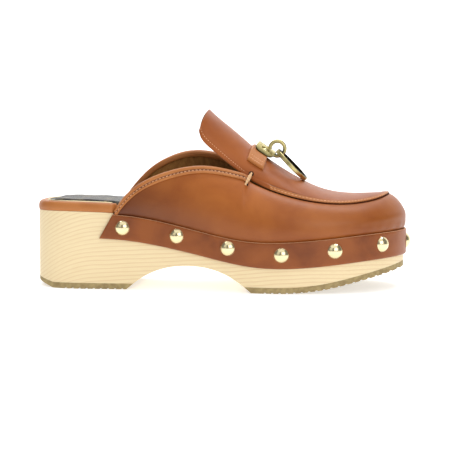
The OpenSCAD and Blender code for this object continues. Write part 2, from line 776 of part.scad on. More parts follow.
// The strap swings back and narrows a little towards its ends
module instep_strap() {
  along = 4;
  across = 16;
  patch = [
    for (i = [0 : across])
      let (side = pow(2 * i / across - 1, 2), w = strap_share + (1 - 2 * strap_share) * i / across)
      [for (j = [along : -1 : 0])
        let (u = ridge_u(strap_back - strap_sweep * side + (strap_w - strap_narrow * side) * j / along))
        apron_point(apron_section(u), u, w)]
  ];
  normals = grid_normals(patch);
  color("tan")
    skin(
      grid_moved(patch, normals, function (i, j) strap_lift + strap_t),
      grid_moved(patch, normals, function (i, j) strap_lift)
    );
}

// Where the small ring comes closest to the ridge, and the ridge's slope there
foot_u = ridge_u(strap_back + ring_ahead);
foot = ridge_point(foot_u);
foot_ahead = ridge_point(foot_u - 0.02);
slope = atan2(foot.z - foot_ahead.z, foot_ahead.x - foot.x);

// Radius of the apron's arch across the ridge
function arch_radius_at(u) =
  let (s = apron_section(u), side = section_point(s, 0.5) - section_point(s, 0.38))
  (pow(side.y, 2) + pow(side.z, 2)) / (2 * side.z * cos(slope));

module at_ring_foot() {
  translate(foot) rotate([0, slope, 0]) children();
}

// The plate: its middle arches up over the small ring, and its edges come down to the strap
plate_mid = strap_w / 2 - ring_ahead + plate_forward;
arch_radius = arch_radius_at(ridge_u(strap_back + ring_ahead + plate_mid));
function arch_drop(aside) = aside * aside / (2 * arch_radius);
function chord_radius(half, sag) = (half * half + sag * sag) / (2 * sag);
strap_top = strap_lift + strap_t + strap_hollow;
edge_low = strap_top - arch_drop(plate_w / 2);
mid_low = strap_top + plate_rise;
mid_top = mid_low + plate_t;
low_radius = chord_radius(plate_w / 2, mid_low - edge_low);
top_radius = chord_radius(plate_w / 2, mid_top - edge_low - plate_edge_t);
rivet_aside = plate_w / 2 - rivet_in;
rivet_top = mid_top - top_radius + sqrt(top_radius * top_radius - rivet_aside * rivet_aside);
washer_at = rivet_top + arch_drop(rivet_aside) + leather_t + gap + lining_t + washer_lift;

module rounded_rect(l, w, r) {
  square([l - 2 * r, w], center = true);
  square([l, w - 2 * r], center = true);
  for (x = [-1, 1], y = [-1, 1])
    translate([x * (l / 2 - r), y * (w / 2 - r)]) circle(r = r);
}

// A circle of round wire, standing in the XZ plane
module wire_ring(d, wire) {
  rotate([90, 0, 0])
    rotate_extrude() translate([(d - wire) / 2, 0]) circle(d = wire);
}

// Stands something on the plate at one of the rivets
module at_rivet(side) {
  translate([plate_mid, side * rivet_aside, rivet_top])
    rotate([-side * rivet_tilt, 0, 0]) children();
}

module long_arch(r, top) {
  translate([plate_mid, 0, top - r])
    rotate([0, 90, 0]) cylinder(r = r, h = 2 * plate_l, center = true);
}

module bridge_plate() {
  color("darkgoldenrod")
    at_ring_foot()
      difference() {
        intersection() {
          long_arch(top_radius, mid_top);
          translate([plate_mid, 0, 0])
            linear_extrude(height = 40, center = true) rounded_rect(plate_l, plate_w, plate_corner);
        }
        ring_tunnel();
        long_arch(low_radius, mid_low);
        for (side = [-1, 1])
          at_rivet(side) {
            translate([0, 0, -recess_deep])
              linear_extrude(height = 3) {
                square([recess_l - recess_w, recess_w], center = true);
                for (x = [-1, 1]) translate([x * (recess_l - recess_w) / 2, 0]) circle(d = recess_w);
              }
            cylinder(d = rivet_d + 2 * gap, h = 20, center = true);
          }
      }
}

module ring_tunnel() {
  translate([0, 0, ring_height])
    wire_ring(small_ring_d + 2 * tunnel_clear, small_wire + 2 * tunnel_clear);
}

module plate_rivets() {
  color("goldenrod")
    at_ring_foot()
      for (side = [-1, 1])
        at_rivet(side) {
          translate([0, 0, -recess_deep]) dome(rivet_head_d, rivet_head_rise);
          translate([0, 0, -washer_at - washer_t - rivet_end_rise])
            cylinder(d = rivet_d,
                     h = washer_at + washer_t + rivet_end_rise - recess_deep + rivet_head_rise / 2);
          translate([0, 0, -washer_at - washer_t - gap]) mirror([0, 0, 1]) dome(rivet_end_d, rivet_end_rise);
        }
}

module rivet_washers() {
  color("gray")
    at_ring_foot()
      for (side = [-1, 1])
        at_rivet(side)
          translate([0, 0, -washer_at - washer_t])
            difference() {
              cylinder(d = washer_d, h = washer_t);
              translate([0, 0, -1]) cylinder(d = rivet_d + 2 * gap, h = washer_t + 2);
            }
}

module small_ring() {
  color("darkgoldenrod")
    at_ring_foot() translate([0, 0, ring_height]) wire_ring(small_ring_d, small_wire);
}

// The large ring hangs in the small one: the middle of its section passes the link, and it leans
// until it rests on the apron
ring_centre = foot + ring_height * [sin(slope), 0, cos(slope)];
link = ring_centre + link_reach * [cos(link_angle - slope), 0, sin(link_angle - slope)];
ring_span = large_ring_d - large_deep;
function ring_at(tilt, turn) =
  let (
    reach = ring_span / 2 * (1 + cos(turn)),
    across = ring_span / 2 * sin(turn),
    along = reach * cos(ring_yaw) + across * sin(ring_yaw),
    aside = across * cos(ring_yaw) - reach * sin(ring_yaw)
  )
  link + [along * cos(tilt), aside, -along * sin(tilt)];
rest_radius = arch_radius_at(ridge_u(strap_back + ring_ahead + ring_span));
ridge_line = [for (i = [100 : -1 : 0]) let (p = ridge_point(i / 100)) [p.x, p.z]];
function room_under(tilt) =
  min([for (turn = [-90 : 10 : 90])
    let (p = ring_at(tilt, turn))
    (p.z - lookup(p.x, ridge_line) + p.y * p.y / (2 * rest_radius)) * cos(slope)]);
lean = lookup(large_wire / 2 + rest_gap, [for (tilt = [65 : -1 : 20]) [room_under(tilt), tilt]]);

module large_ring() {
  color("darkgoldenrod")
    translate(link)
      rotate([0, lean, 0])
        rotate([0, 0, -ring_yaw])
          translate([ring_span / 2, 0, 0])
            rotate_extrude() translate([ring_span / 2, 0]) rounded_rect(large_deep, large_wire, corner_r);
}

// --- Bar tacks ------------------------------------------------------------------------------------
module rod(a, b, d) {
  v = b - a;
  translate(a)
    rotate([0, acos(v.z / norm(v)), atan2(v.y, v.x)]) {
      cylinder(d = d, h = norm(v));
      sphere(d = d);
      translate([0, 0, norm(v)]) sphere(d = d);
    }
}

module bar_tacks() {
  section = apron_section(tack_u);
  color("wheat")
    for (side = [1, -1]) {
      k = spline(top_line, side > 0 ? tack_outer : tack_inner);
      n = rim_normal(k.x);
      low = wall_point(k, tack_low);
      high = apron_point(section, tack_u, side > 0 ? tack_across : 1 - tack_across);
      rod(low + [n.x, n.y, 0] * bar_d / 4, high + [0, -side * 0.9, 0.3] * bar_d / 3, bar_d);
    }
}

wood_sole();
heel_tread();
forepart_tread();
footbed_pad();
footbed_rim();
sock_liner();
vamp();
vamp_lining();
toe_puff();
apron();
apron_lining();
collar_binding_lateral();
collar_binding_medial();
rand_band();
dome_nails();
lasting_tacks();
instep_strap();
bridge_plate();
plate_rivets();
rivet_washers();
small_ring();
large_ring();
bar_tacks();
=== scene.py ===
"""Looks of a wooden clog for the right foot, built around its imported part.

Sizes in the classes are millimetres in the part's own frame: X runs to the toe, Z up, and -Y is the
outer side of the foot. They become metres where a mesh is made.
"""

import logging
import math
from dataclasses import dataclass, field
from enum import Enum
from typing import Callable, Optional, Sequence

import bmesh
import bpy
import numpy as np
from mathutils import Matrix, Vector


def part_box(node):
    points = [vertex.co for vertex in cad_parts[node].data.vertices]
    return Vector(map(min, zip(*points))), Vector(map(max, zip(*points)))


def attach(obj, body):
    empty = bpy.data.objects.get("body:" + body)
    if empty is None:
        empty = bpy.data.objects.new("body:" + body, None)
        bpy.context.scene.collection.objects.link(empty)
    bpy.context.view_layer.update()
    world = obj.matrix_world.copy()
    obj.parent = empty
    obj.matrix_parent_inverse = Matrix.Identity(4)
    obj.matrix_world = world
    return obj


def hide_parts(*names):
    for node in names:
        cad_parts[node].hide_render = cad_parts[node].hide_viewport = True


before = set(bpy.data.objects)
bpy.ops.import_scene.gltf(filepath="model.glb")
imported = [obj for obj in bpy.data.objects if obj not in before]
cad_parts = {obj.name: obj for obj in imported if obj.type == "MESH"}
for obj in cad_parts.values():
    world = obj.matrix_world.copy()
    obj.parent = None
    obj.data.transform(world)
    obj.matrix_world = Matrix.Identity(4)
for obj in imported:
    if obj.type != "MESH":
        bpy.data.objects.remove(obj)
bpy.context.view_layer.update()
log = logging.getLogger("clog")

MM = 0.001
CLOG = "clog"
Array = np.ndarray


class Side(Enum):
    """The two sides of the shoe: the value is the sign that the apron's drawing is multiplied by."""

    OUTER = 1
    INNER = -1


# --- Curves ---------------------------------------------------------------------------------------
def blend4(a: Array, b: Array, c: Array, d: Array, f: Array) -> Array:
    """Returns the smooth mean of four neighbouring rows at the share f of the middle span."""
    first, last = (1 - f) ** 3 * a, f**3 * d
    return (first + (3 * f**3 - 6 * f**2 + 4) * b + (-3 * f**3 + 3 * f**2 + 3 * f + 1) * c + last) / 6


def spline(rows: Array, t: Array) -> Array:
    """Samples a smooth open curve near its rows, which starts and ends on the outer two.

    Args:
        rows: Control rows, one to each whole number of t.
        t: Places along the curve.

    Returns:
        One row for each place.
    """
    rows = np.atleast_2d(rows.T).T
    t = np.atleast_1d(np.asarray(t, float))
    padded = np.vstack([2 * rows[0] - rows[1], rows, 2 * rows[-1] - rows[-2]])
    i = np.clip(np.floor(t), 0, len(rows) - 2).astype(int)
    f = (t - i)[:, None]
    return blend4(padded[i], padded[i + 1], padded[i + 2], padded[i + 3], f)


def loop_spline(rows: Array, t: Array) -> Array:
    """Samples a smooth closed curve near its rows at the places t."""
    t = np.atleast_1d(np.asarray(t, float))
    i = np.floor(t).astype(int)
    f = (t - i)[:, None]
    n = len(rows)
    return blend4(rows[(i - 1) % n], rows[i % n], rows[(i + 1) % n], rows[(i + 2) % n], f)


def bezier(a: Array, b: Array, c: Array, d: Array, t: Array) -> Array:
    """Returns the points at t on the cubic curve from a to d with the handles b and c."""
    return (1 - t) ** 3 * a + 3 * (1 - t) ** 2 * t * b + 3 * (1 - t) * t**2 * c + t**3 * d


def unit(v: Array) -> Array:
    """Returns the vectors scaled to length one."""
    return v / np.maximum(np.linalg.norm(v, axis=-1, keepdims=True), 1e-9)


def ease(t: Array) -> Array:
    """Returns a soft step from 0 at t = 0 to 1 at t = 1."""
    c = np.clip(t, 0, 1)
    return c * c * (3 - 2 * c)


def bump(t: Array, middle: float, width: float) -> Array:
    """Returns a soft bump of height one around a middle value."""
    return np.exp(-(((t - middle) / width) ** 2))


def run_length(path: Array) -> Array:
    """Returns the distance along a path of points, or along each row of a grid of points."""
    step = np.linalg.norm(np.diff(path, axis=-2), axis=-1)
    start = np.zeros(step.shape[:-1] + (1,))
    return np.concatenate([start, np.cumsum(step, axis=-1)], axis=-1)


def grid_normals(grid: Array) -> Array:
    """Returns the unit normals of a grid of points, on the side its two ways turn to."""
    return unit(np.cross(np.gradient(grid, axis=0), np.gradient(grid, axis=1)))


# --- Meshes ---------------------------------------------------------------------------------------
def grid_faces(rows: int, columns: int, start: int = 0, wrap: bool = False) -> Array:
    """Lists the four-sided faces of a grid.

    Args:
        rows: Number of rows of points.
        columns: Number of points in a row.
        start: Index of the first point.
        wrap: Whether the last point of a row joins the first.

    Returns:
        Point indices, four to a face.
    """
    i = np.arange(rows - 1)[:, None]
    j = np.arange(columns if wrap else columns - 1)[None, :]
    k = (j + 1) % columns
    a, b, c, d = i * columns + j, i * columns + k, (i + 1) * columns + k, (i + 1) * columns + j
    return np.stack(np.broadcast_arrays(a, b, c, d), -1).reshape(-1, 4) + start


def make_piece(name: str, points: Array, faces: list, *materials: bpy.types.Material) -> bpy.types.Object:
    """Makes a smooth-shaded closed mesh object with its faces turned outwards.

    Args:
        name: The piece's name.
        points: Points in millimetres.
        faces: Lists of point indices.
        materials: Materials of the piece, the first on every face.

    Returns:
        The new object.
    """
    mesh = bpy.data.meshes.new(name)
    metres = (np.asarray(points, float).reshape(-1, 3) * MM).tolist()
    mesh.from_pydata(metres, [], [list(map(int, f)) for f in faces])
    shaped = bmesh.new()
    shaped.from_mesh(mesh)
    bmesh.ops.recalc_face_normals(shaped, faces=shaped.faces)
    shaped.to_mesh(mesh)
    shaped.free()
    mesh.polygons.foreach_set("use_smooth", [True] * len(mesh.polygons))
    piece = bpy.data.objects.new(name, mesh)
    bpy.context.scene.collection.objects.link(piece)
    for material in materials:
        mesh.materials.append(material)
    return piece


def soften_edges(
    piece: bpy.types.Object, width: float, segments: int = 2, angle: float = 45
) -> bpy.types.Object:
    """Rounds a piece's sharp edges.

    Args:
        piece: The piece to change.
        width: Width of the rounding in millimetres.
        segments: Number of faces across it.
        angle: Smallest angle of an edge that is rounded, in degrees.

    Returns:
        The same piece.
    """
    rounding = piece.modifiers.new("rounded edges", "BEVEL")
    rounding.width = width * MM
    rounding.segments = segments
    rounding.limit_method = "ANGLE"
    rounding.angle_limit = math.radians(angle)
    even = piece.modifiers.new("even shading", "WEIGHTED_NORMAL")
    even.weight = 50
    return piece


def shell(name: str, outer: Array, inner: Array, *materials: bpy.types.Material) -> bpy.types.Object:
    """Makes a closed sheet between an outer and an inner grid.

    Args:
        name: The piece's name.
        outer: Grid of points on the outer face.
        inner: Grid of the same size on the inner face.
        materials: The material of the faces, then the one of the cut edges, then any others.

    Returns:
        The new object.
    """
    m, n = outer.shape[:2]
    size = m * n
    at = np.arange(size).reshape(m, n)
    border = np.concatenate([at[0, :], at[1:, -1], at[-1, -2::-1], at[-2:0:-1, 0]])
    after = np.roll(border, -1)
    sides = np.stack([border, after, after + size, border + size], -1)
    faces = np.concatenate([grid_faces(m, n), grid_faces(m, n, size), sides])
    points = np.concatenate([outer.reshape(-1, 3), inner.reshape(-1, 3)])
    piece = make_piece(name, points, faces.tolist(), *materials)
    if len(materials) > 1:
        is_side = np.arange(len(faces)) >= len(faces) - len(sides)
        piece.data.polygons.foreach_set("material_index", is_side.astype(np.int32))
    return piece


def sweep(name: str, sections: Array, *materials: bpy.types.Material) -> bpy.types.Object:
    """Makes a closed bar from a row of closed sections."""
    m, n = sections.shape[:2]
    faces = grid_faces(m, n, wrap=True).tolist()
    faces += [list(range(n)), list(range((m - 1) * n, m * n))]
    return make_piece(name, sections.reshape(-1, 3), faces, *materials)


def stitches(
    name: str,
    path: Array,
    normals: Array,
    material: bpy.types.Material,
    pitch: float = 2.4,
    length: float = 1.8,
    radius: float = 0.24,
    dip: float = 0.22,
) -> bpy.types.Object:
    """Makes a row of single stitches whose ends dip into the leather.

    Args:
        name: The piece's name.
        path: Points along the seam.
        normals: The leather's outward directions there.
        material: The thread.
        pitch: Distance from one stitch to the next.
        length: Length of a stitch.
        radius: Radius of the thread.
        dip: How far a stitch's ends lie below its middle.

    Returns:
        One object that holds the whole row.
    """
    at = run_length(path)
    places = np.arange(pitch / 2, at[-1], pitch)
    middle = np.stack([np.interp(places, at, path[:, k]) for k in range(3)], -1)
    ahead = np.stack([np.interp(places + 0.3, at, path[:, k]) for k in range(3)], -1)
    behind = np.stack([np.interp(places - 0.3, at, path[:, k]) for k in range(3)], -1)
    up = unit(np.stack([np.interp(places, at, normals[:, k]) for k in range(3)], -1))
    along = unit(ahead - behind)
    across = unit(np.cross(up, along))
    rings, around = 9, 8
    t = np.linspace(-1, 1, rings)[:, None]
    turn = np.arange(around) / around * 2 * math.pi
    thick = radius * np.sqrt(np.maximum(1 - t**4, 0.02))
    lift = thick * np.sin(turn) - dip * t**2
    local = np.stack(np.broadcast_arrays(t * length / 2, thick * np.cos(turn), lift), -1)
    local = local.reshape(-1, 3)
    points = (
        middle[:, None]
        + local[None, :, 0:1] * along[:, None]
        + local[None, :, 1:2] * across[:, None]
        + local[None, :, 2:3] * up[:, None]
    )
    faces: list = []
    one = grid_faces(rings, around, wrap=True)
    caps = [list(range(around)), list(range((rings - 1) * around, rings * around))]
    for k in range(len(places)):
        base = k * rings * around
        faces += (one + base).tolist() + [[c + base for c in cap] for cap in caps]
    return make_piece(name, points, faces, material)


def refined(
    node: str, name: str, material: bpy.types.Material, rounding: float, angle: float = 40
) -> bpy.types.Object:
    """Copies a node of the part as a piece of its own with smooth shading and rounded edges."""
    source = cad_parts[node]
    mesh = source.data.copy()
    mesh.name = name
    mesh.materials.clear()
    mesh.materials.append(material)
    shaped = bmesh.new()
    shaped.from_mesh(mesh)
    bmesh.ops.remove_doubles(shaped, verts=shaped.verts, dist=2e-6)
    bmesh.ops.dissolve_limit(shaped, angle_limit=math.radians(0.4), verts=shaped.verts, edges=shaped.edges)
    shaped.to_mesh(mesh)
    shaped.free()
    for layer in list(mesh.attributes):
        if layer.name == "custom_normal":
            mesh.attributes.remove(layer)
    mesh.polygons.foreach_set("use_smooth", [True] * len(mesh.polygons))
    piece = bpy.data.objects.new(name, mesh)
    bpy.context.scene.collection.objects.link(piece)
    if rounding > 0:
        soften_edges(piece, rounding, 3, angle)
    else:
        mesh.set_sharp_from_angle(angle=math.radians(angle))
    return piece


def place(piece: bpy.types.Object, slot: str, *nodes: str, body: str = CLOG) -> bpy.types.Object:
    """Lets a piece ride on a body and lets it stand for nodes of the part."""
    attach(piece, body)
    if nodes:
        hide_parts(*nodes)
    log.info("%s: %d faces", piece.name, len(piece.data.polygons))
    return piece


# --- Finishes -------------------------------------------------------------------------------------
def tone(red: int, green: int, blue: int) -> tuple[float, float, float, float]:
    """Returns a linear colour from its everyday 0 to 255 parts."""
    parts = [c / 255 for c in (red, green, blue)]
    return tuple(c / 12.92 if c <= 0.04045 else ((c + 0.055) / 1.055) ** 2.4 for c in parts) + (1.0,)


class Recipe:
    """A material under construction: a Principled shader with small helpers around it."""

    def __init__(self, name: str) -> None:
        """Starts an empty material of that name."""
        self.material = bpy.data.materials.new(name)
        self.material.use_nodes = True
        self.tree = self.material.node_tree
        self.shader = self.tree.nodes["Principled BSDF"]
        self.place = self.node("ShaderNodeTexCoord").outputs["Object"]

    def node(self, kind: str, **values: object) -> bpy.types.Node:
        """Adds a node and sets its named properties."""
        made = self.tree.nodes.new(kind)
        for key, value in values.items():
            setattr(made, key, value)
        return made

    def link(self, source: bpy.types.NodeSocket, target: bpy.types.NodeSocket) -> None:
        """Joins two sockets."""
        self.tree.links.new(source, target)

    def set(self, **values: object) -> "Recipe":
        """Sets the shader's own sockets, written with _ for spaces."""
        for key, value in values.items():
            self.shader.inputs[key.replace("_", " ")].default_value = value
        return self

    def stretched(self, scale: Sequence[float], turn: Sequence[float] = (0, 0, 0)) -> bpy.types.NodeSocket:
        """Returns the place scaled and turned."""
        mapping = self.node("ShaderNodeMapping")
        mapping.inputs["Scale"].default_value = scale
        mapping.inputs["Rotation"].default_value = [math.radians(a) for a in turn]
        self.link(self.place, mapping.inputs["Vector"])
        return mapping.outputs["Vector"]

    def noise(
        self,
        scale: float,
        detail: float = 3,
        place: Optional[bpy.types.NodeSocket] = None,
        rough: float = 0.5,
        bend: float = 0,
    ) -> bpy.types.NodeSocket:
        """Returns a noise value between 0 and 1."""
        made = self.node("ShaderNodeTexNoise")
        made.inputs["Scale"].default_value = scale
        made.inputs["Detail"].default_value = detail
        made.inputs["Roughness"].default_value = rough
        made.inputs["Distortion"].default_value = bend
        self.link(place or self.place, made.inputs["Vector"])
        return made.outputs["Fac"]

    def cells(
        self, scale: float, feature: str = "F1", place: Optional[bpy.types.NodeSocket] = None
    ) -> bpy.types.NodeSocket:
        """Returns a distance within random cells."""
        made = self.node("ShaderNodeTexVoronoi", feature=feature)
        made.inputs["Scale"].default_value = scale
        self.link(place or self.place, made.inputs["Vector"])
        return made.outputs["Distance"]

    def ramp(self, value: bpy.types.NodeSocket, *stops: tuple[float, tuple]) -> bpy.types.NodeSocket:
        """Returns colours that follow a value."""
        made = self.node("ShaderNodeValToRGB")
        marks = made.color_ramp.elements
        while len(marks) < len(stops):
            marks.new(0.5)
        for mark, (at, colour) in zip(marks, stops):
            mark.position = at
            mark.color = colour
        self.link(value, made.inputs["Fac"])
        return made.outputs["Color"]

    def math(self, operation: str, *values: object) -> bpy.types.NodeSocket:
        """Returns the result of a sum on sockets and numbers."""
        made = self.node("ShaderNodeMath", operation=operation)
        for socket, value in zip(made.inputs, values):
            if isinstance(value, (int, float)):
                socket.default_value = value
            else:
                self.link(value, socket)
        return made.outputs["Value"]

    def mix(self, share: object, first: object, second: object) -> bpy.types.NodeSocket:
        """Returns a blend of two colours."""
        made = self.node("ShaderNodeMix", data_type="RGBA")
        for socket, value in zip((made.inputs[0], made.inputs[6], made.inputs[7]), (share, first, second)):
            if isinstance(value, bpy.types.NodeSocket):
                self.link(value, socket)
            else:
                socket.default_value = value
        return made.outputs[2]

    def parts(self) -> tuple[bpy.types.NodeSocket, ...]:
        """Returns the place's X, Y and Z."""
        made = self.node("ShaderNodeSeparateXYZ")
        self.link(self.place, made.inputs["Vector"])
        return tuple(made.outputs)

    def relief(self, height: bpy.types.NodeSocket, depth: float, strength: float = 1) -> "Recipe":
        """Adds fine relief to the surface, its depth in millimetres."""
        made = self.node("ShaderNodeBump")
        made.inputs["Strength"].default_value = strength
        made.inputs["Distance"].default_value = depth * MM
        before = self.shader.inputs["Normal"]
        if before.is_linked:
            self.link(before.links[0].from_socket, made.inputs["Normal"])
        self.link(height, made.inputs["Height"])
        self.link(made.outputs["Normal"], before)
        return self


@dataclass(frozen=True)
class Leather:
    """Smooth leather with pores, faint clouding, a waxed top coat and painted shade where a piece stores it.
    """

    name: str
    colour: tuple
    shade: tuple
    gloss: float = 0.38
    wax: float = 0.18
    grain: float = 0.05
    painted_shade_tone: tuple = tone(84, 36, 10)

    def build(self) -> bpy.types.Material:
        """Returns the leather's material."""
        r = Recipe(self.name)
        cloud = r.noise(38, 4, bend=0.4)
        streak = r.noise(160, 3, r.stretched((0.5, 1, 1)))
        body = r.ramp(cloud, (0.3, self.shade), (0.62, self.colour))
        worn = r.mix(r.ramp(streak, (0.45, (0, 0, 0, 1)), (0.8, (0.35, 0.35, 0.35, 1))), body, self.colour)
        # Painted shade: a value stored on a piece darkens the colour towards the painted shade tone.
        dark = r.node("ShaderNodeAttribute", attribute_name="patina_and_painted_shade").outputs["Fac"]
        r.link(r.mix(dark, worn, self.painted_shade_tone), r.shader.inputs["Base Color"])
        rough = r.math("MULTIPLY_ADD", r.noise(220, 2), 0.16, self.gloss - 0.08)
        r.link(rough, r.shader.inputs["Roughness"])
        r.set(Coat_Weight=self.wax, Coat_Roughness=0.34, Specular_IOR_Level=0.34)
        r.relief(r.noise(60, 3), 0.18, 0.5).relief(r.cells(1500), self.grain, 0.6)
        return r.material


@dataclass(frozen=True)
class Suede:
    """Brushed leather with a soft nap."""

    name: str
    colour: tuple
    shade: tuple

    def build(self) -> bpy.types.Material:
        """Returns the suede's material."""
        r = Recipe(self.name)
        nap = r.noise(420, 4, r.stretched((1, 1, 0.4)), 0.7)
        r.link(r.ramp(nap, (0.35, self.shade), (0.7, self.colour)), r.shader.inputs["Base Color"])
        r.set(Roughness=0.92, Sheen_Weight=0.35, Sheen_Roughness=0.5, Specular_IOR_Level=0.2)
        r.relief(nap, 0.12, 0.7)
        return r.material


@dataclass(frozen=True)
class Wood:
    """Pale sanded wood whose grain runs along the shoe and drops at the back of the heel."""

    name: str
    colour: tuple
    line: tuple
    fibre: tuple

    def build(self) -> bpy.types.Material:
        """Returns the wood's material."""
        r = Recipe(self.name)
        x, y, z = r.parts()
        back = r.math("MINIMUM", r.math("SUBTRACT", x, 0.012), 0.0)
        drop = r.math("MULTIPLY", r.math("MULTIPLY", back, back), 7.0)
        level = r.math("ADD", r.math("MULTIPLY_ADD", x, -0.055, z), drop)
        level = r.math("MULTIPLY_ADD", y, 0.12, level)
        wave = r.noise(1, 2, r.stretched((14, 20, 26)), 0.4)
        level = r.math("MULTIPLY_ADD", wave, 0.006, level)
        ring = r.math("FRACT", r.math("MULTIPLY", level, 360))
        late = r.ramp(ring, (0.0, self.colour), (0.62, self.colour), (0.92, self.line), (1.0, self.colour))
        along = r.node("ShaderNodeCombineXYZ")
        r.link(r.math("MULTIPLY", x, 60), along.inputs["X"])
        r.link(r.math("MULTIPLY", y, 900), along.inputs["Y"])
        r.link(r.math("MULTIPLY", level, 1500), along.inputs["Z"])
        hair = r.noise(1, 3, along.outputs["Vector"], 0.6)
        hairs = r.ramp(hair, (0.42, (0, 0, 0, 1)), (0.72, (1, 1, 1, 1)))
        share = r.math("MULTIPLY", hairs, 0.28)
        strength = r.math("MULTIPLY_ADD", r.noise(1, 2, r.stretched((10, 30, 40))), 0.8, 0.05)
        body = r.mix(strength, self.colour, late)
        r.link(r.mix(share, body, self.fibre), r.shader.inputs["Base Color"])
        r.set(Roughness=0.48, Specular_IOR_Level=0.35, Coat_Weight=0.06, Coat_Roughness=0.4)
        r.relief(hair, 0.05, 0.5)
        return r.material


@dataclass(frozen=True)
class Rubber:
    """Moulded sole rubber with fine lines along its edge."""

    name: str
    colour: tuple
    shade: tuple

    def build(self) -> bpy.types.Material:
        """Returns the rubber's material."""
        r = Recipe(self.name)
        lines = r.node("ShaderNodeTexWave", wave_type="BANDS", bands_direction="Z")
        lines.inputs["Scale"].default_value = 320
        r.link(r.place, lines.inputs["Vector"])
        dust = r.noise(300, 3)
        r.link(r.ramp(dust, (0.35, self.shade), (0.65, self.colour)), r.shader.inputs["Base Color"])
        r.set(Roughness=0.75, Specular_IOR_Level=0.3)
        r.relief(lines.outputs["Fac"], 0.12, 0.6).relief(dust, 0.05)
        return r.material


@dataclass(frozen=True)
class Metal:
    """Cast or drawn metal with a clouded patina, and painted shade where a shaded piece stores a value."""

    name: str
    colour: tuple
    patina_and_painted_shade: tuple
    gloss: float
    cover: float = 0.0
    shaded: bool = False

    def build(self) -> bpy.types.Material:
        """Returns the metal's material."""
        r = Recipe(self.name)
        spots = r.noise(420, 4, rough=0.65)
        wide = r.noise(120, 2)
        mask = r.math("MULTIPLY_ADD", wide, 0.6, r.math("MULTIPLY", spots, 0.4))
        low, high = 0.62 - self.cover * 0.3, 0.78 - self.cover * 0.2
        body = r.ramp(mask, (low, self.colour), (high, self.patina_and_painted_shade))
        rough = r.math("MULTIPLY_ADD", spots, 0.14, self.gloss - 0.05)
        if self.shaded:
            # Painted shade: the stored value darkens the metal towards near black and roughens it.
            dark = r.node("ShaderNodeAttribute", attribute_name="patina_and_painted_shade").outputs["Fac"]
            body = r.mix(dark, body, tone(26, 22, 8))
            rough = r.math("MULTIPLY_ADD", dark, 0.2, rough)
        r.link(body, r.shader.inputs["Base Color"])
        r.link(rough, r.shader.inputs["Roughness"])
        r.set(Metallic=1.0)
        r.relief(wide, 0.06, 0.35 * (0.3 + self.cover)).relief(spots, 0.02, 0.4 * self.cover)
        return r.material


@dataclass(frozen=True)
class Foil:
    """Crackled metallic foil on leather."""

    name: str
    colour: tuple
    dark: tuple
    glint: tuple

    def build(self) -> bpy.types.Material:
        """Returns the foil's material."""
        r = Recipe(self.name)
        bent = r.noise(90, 4, bend=1.2)
        crack = r.cells(330, "DISTANCE_TO_EDGE", r.stretched((0.8, 1.2, 1)))
        fine = r.cells(900, "DISTANCE_TO_EDGE")
        broken = r.math("MULTIPLY", r.ramp(crack, (0.0, (0, 0, 0, 1)), (0.12, (1, 1, 1, 1))),
                        r.ramp(fine, (0.0, (0.3, 0.3, 0.3, 1)), (0.1, (1, 1, 1, 1))))
        sheet = r.ramp(bent, (0.35, self.dark), (0.52, self.colour), (0.72, self.glint))
        r.link(r.mix(broken, self.dark, sheet), r.shader.inputs["Base Color"])
        r.set(Metallic=0.85, Roughness=0.42)
        r.relief(broken, 0.1, 0.8).relief(bent, 0.5, 0.5)
        return r.material


@dataclass(frozen=True)
class Plain:
    """Thread, foam, board and other matt stuff with a fine tooth."""

    name: str
    colour: tuple
    shade: tuple
    tooth: float = 700

    def build(self) -> bpy.types.Material:
        """Returns the material."""
        r = Recipe(self.name)
        grain = r.noise(self.tooth, 3, rough=0.6)
        r.link(r.ramp(grain, (0.3, self.shade), (0.7, self.colour)), r.shader.inputs["Base Color"])
        r.set(Roughness=0.8, Specular_IOR_Level=0.3)
        r.relief(grain, 0.05, 0.6)
        return r.material


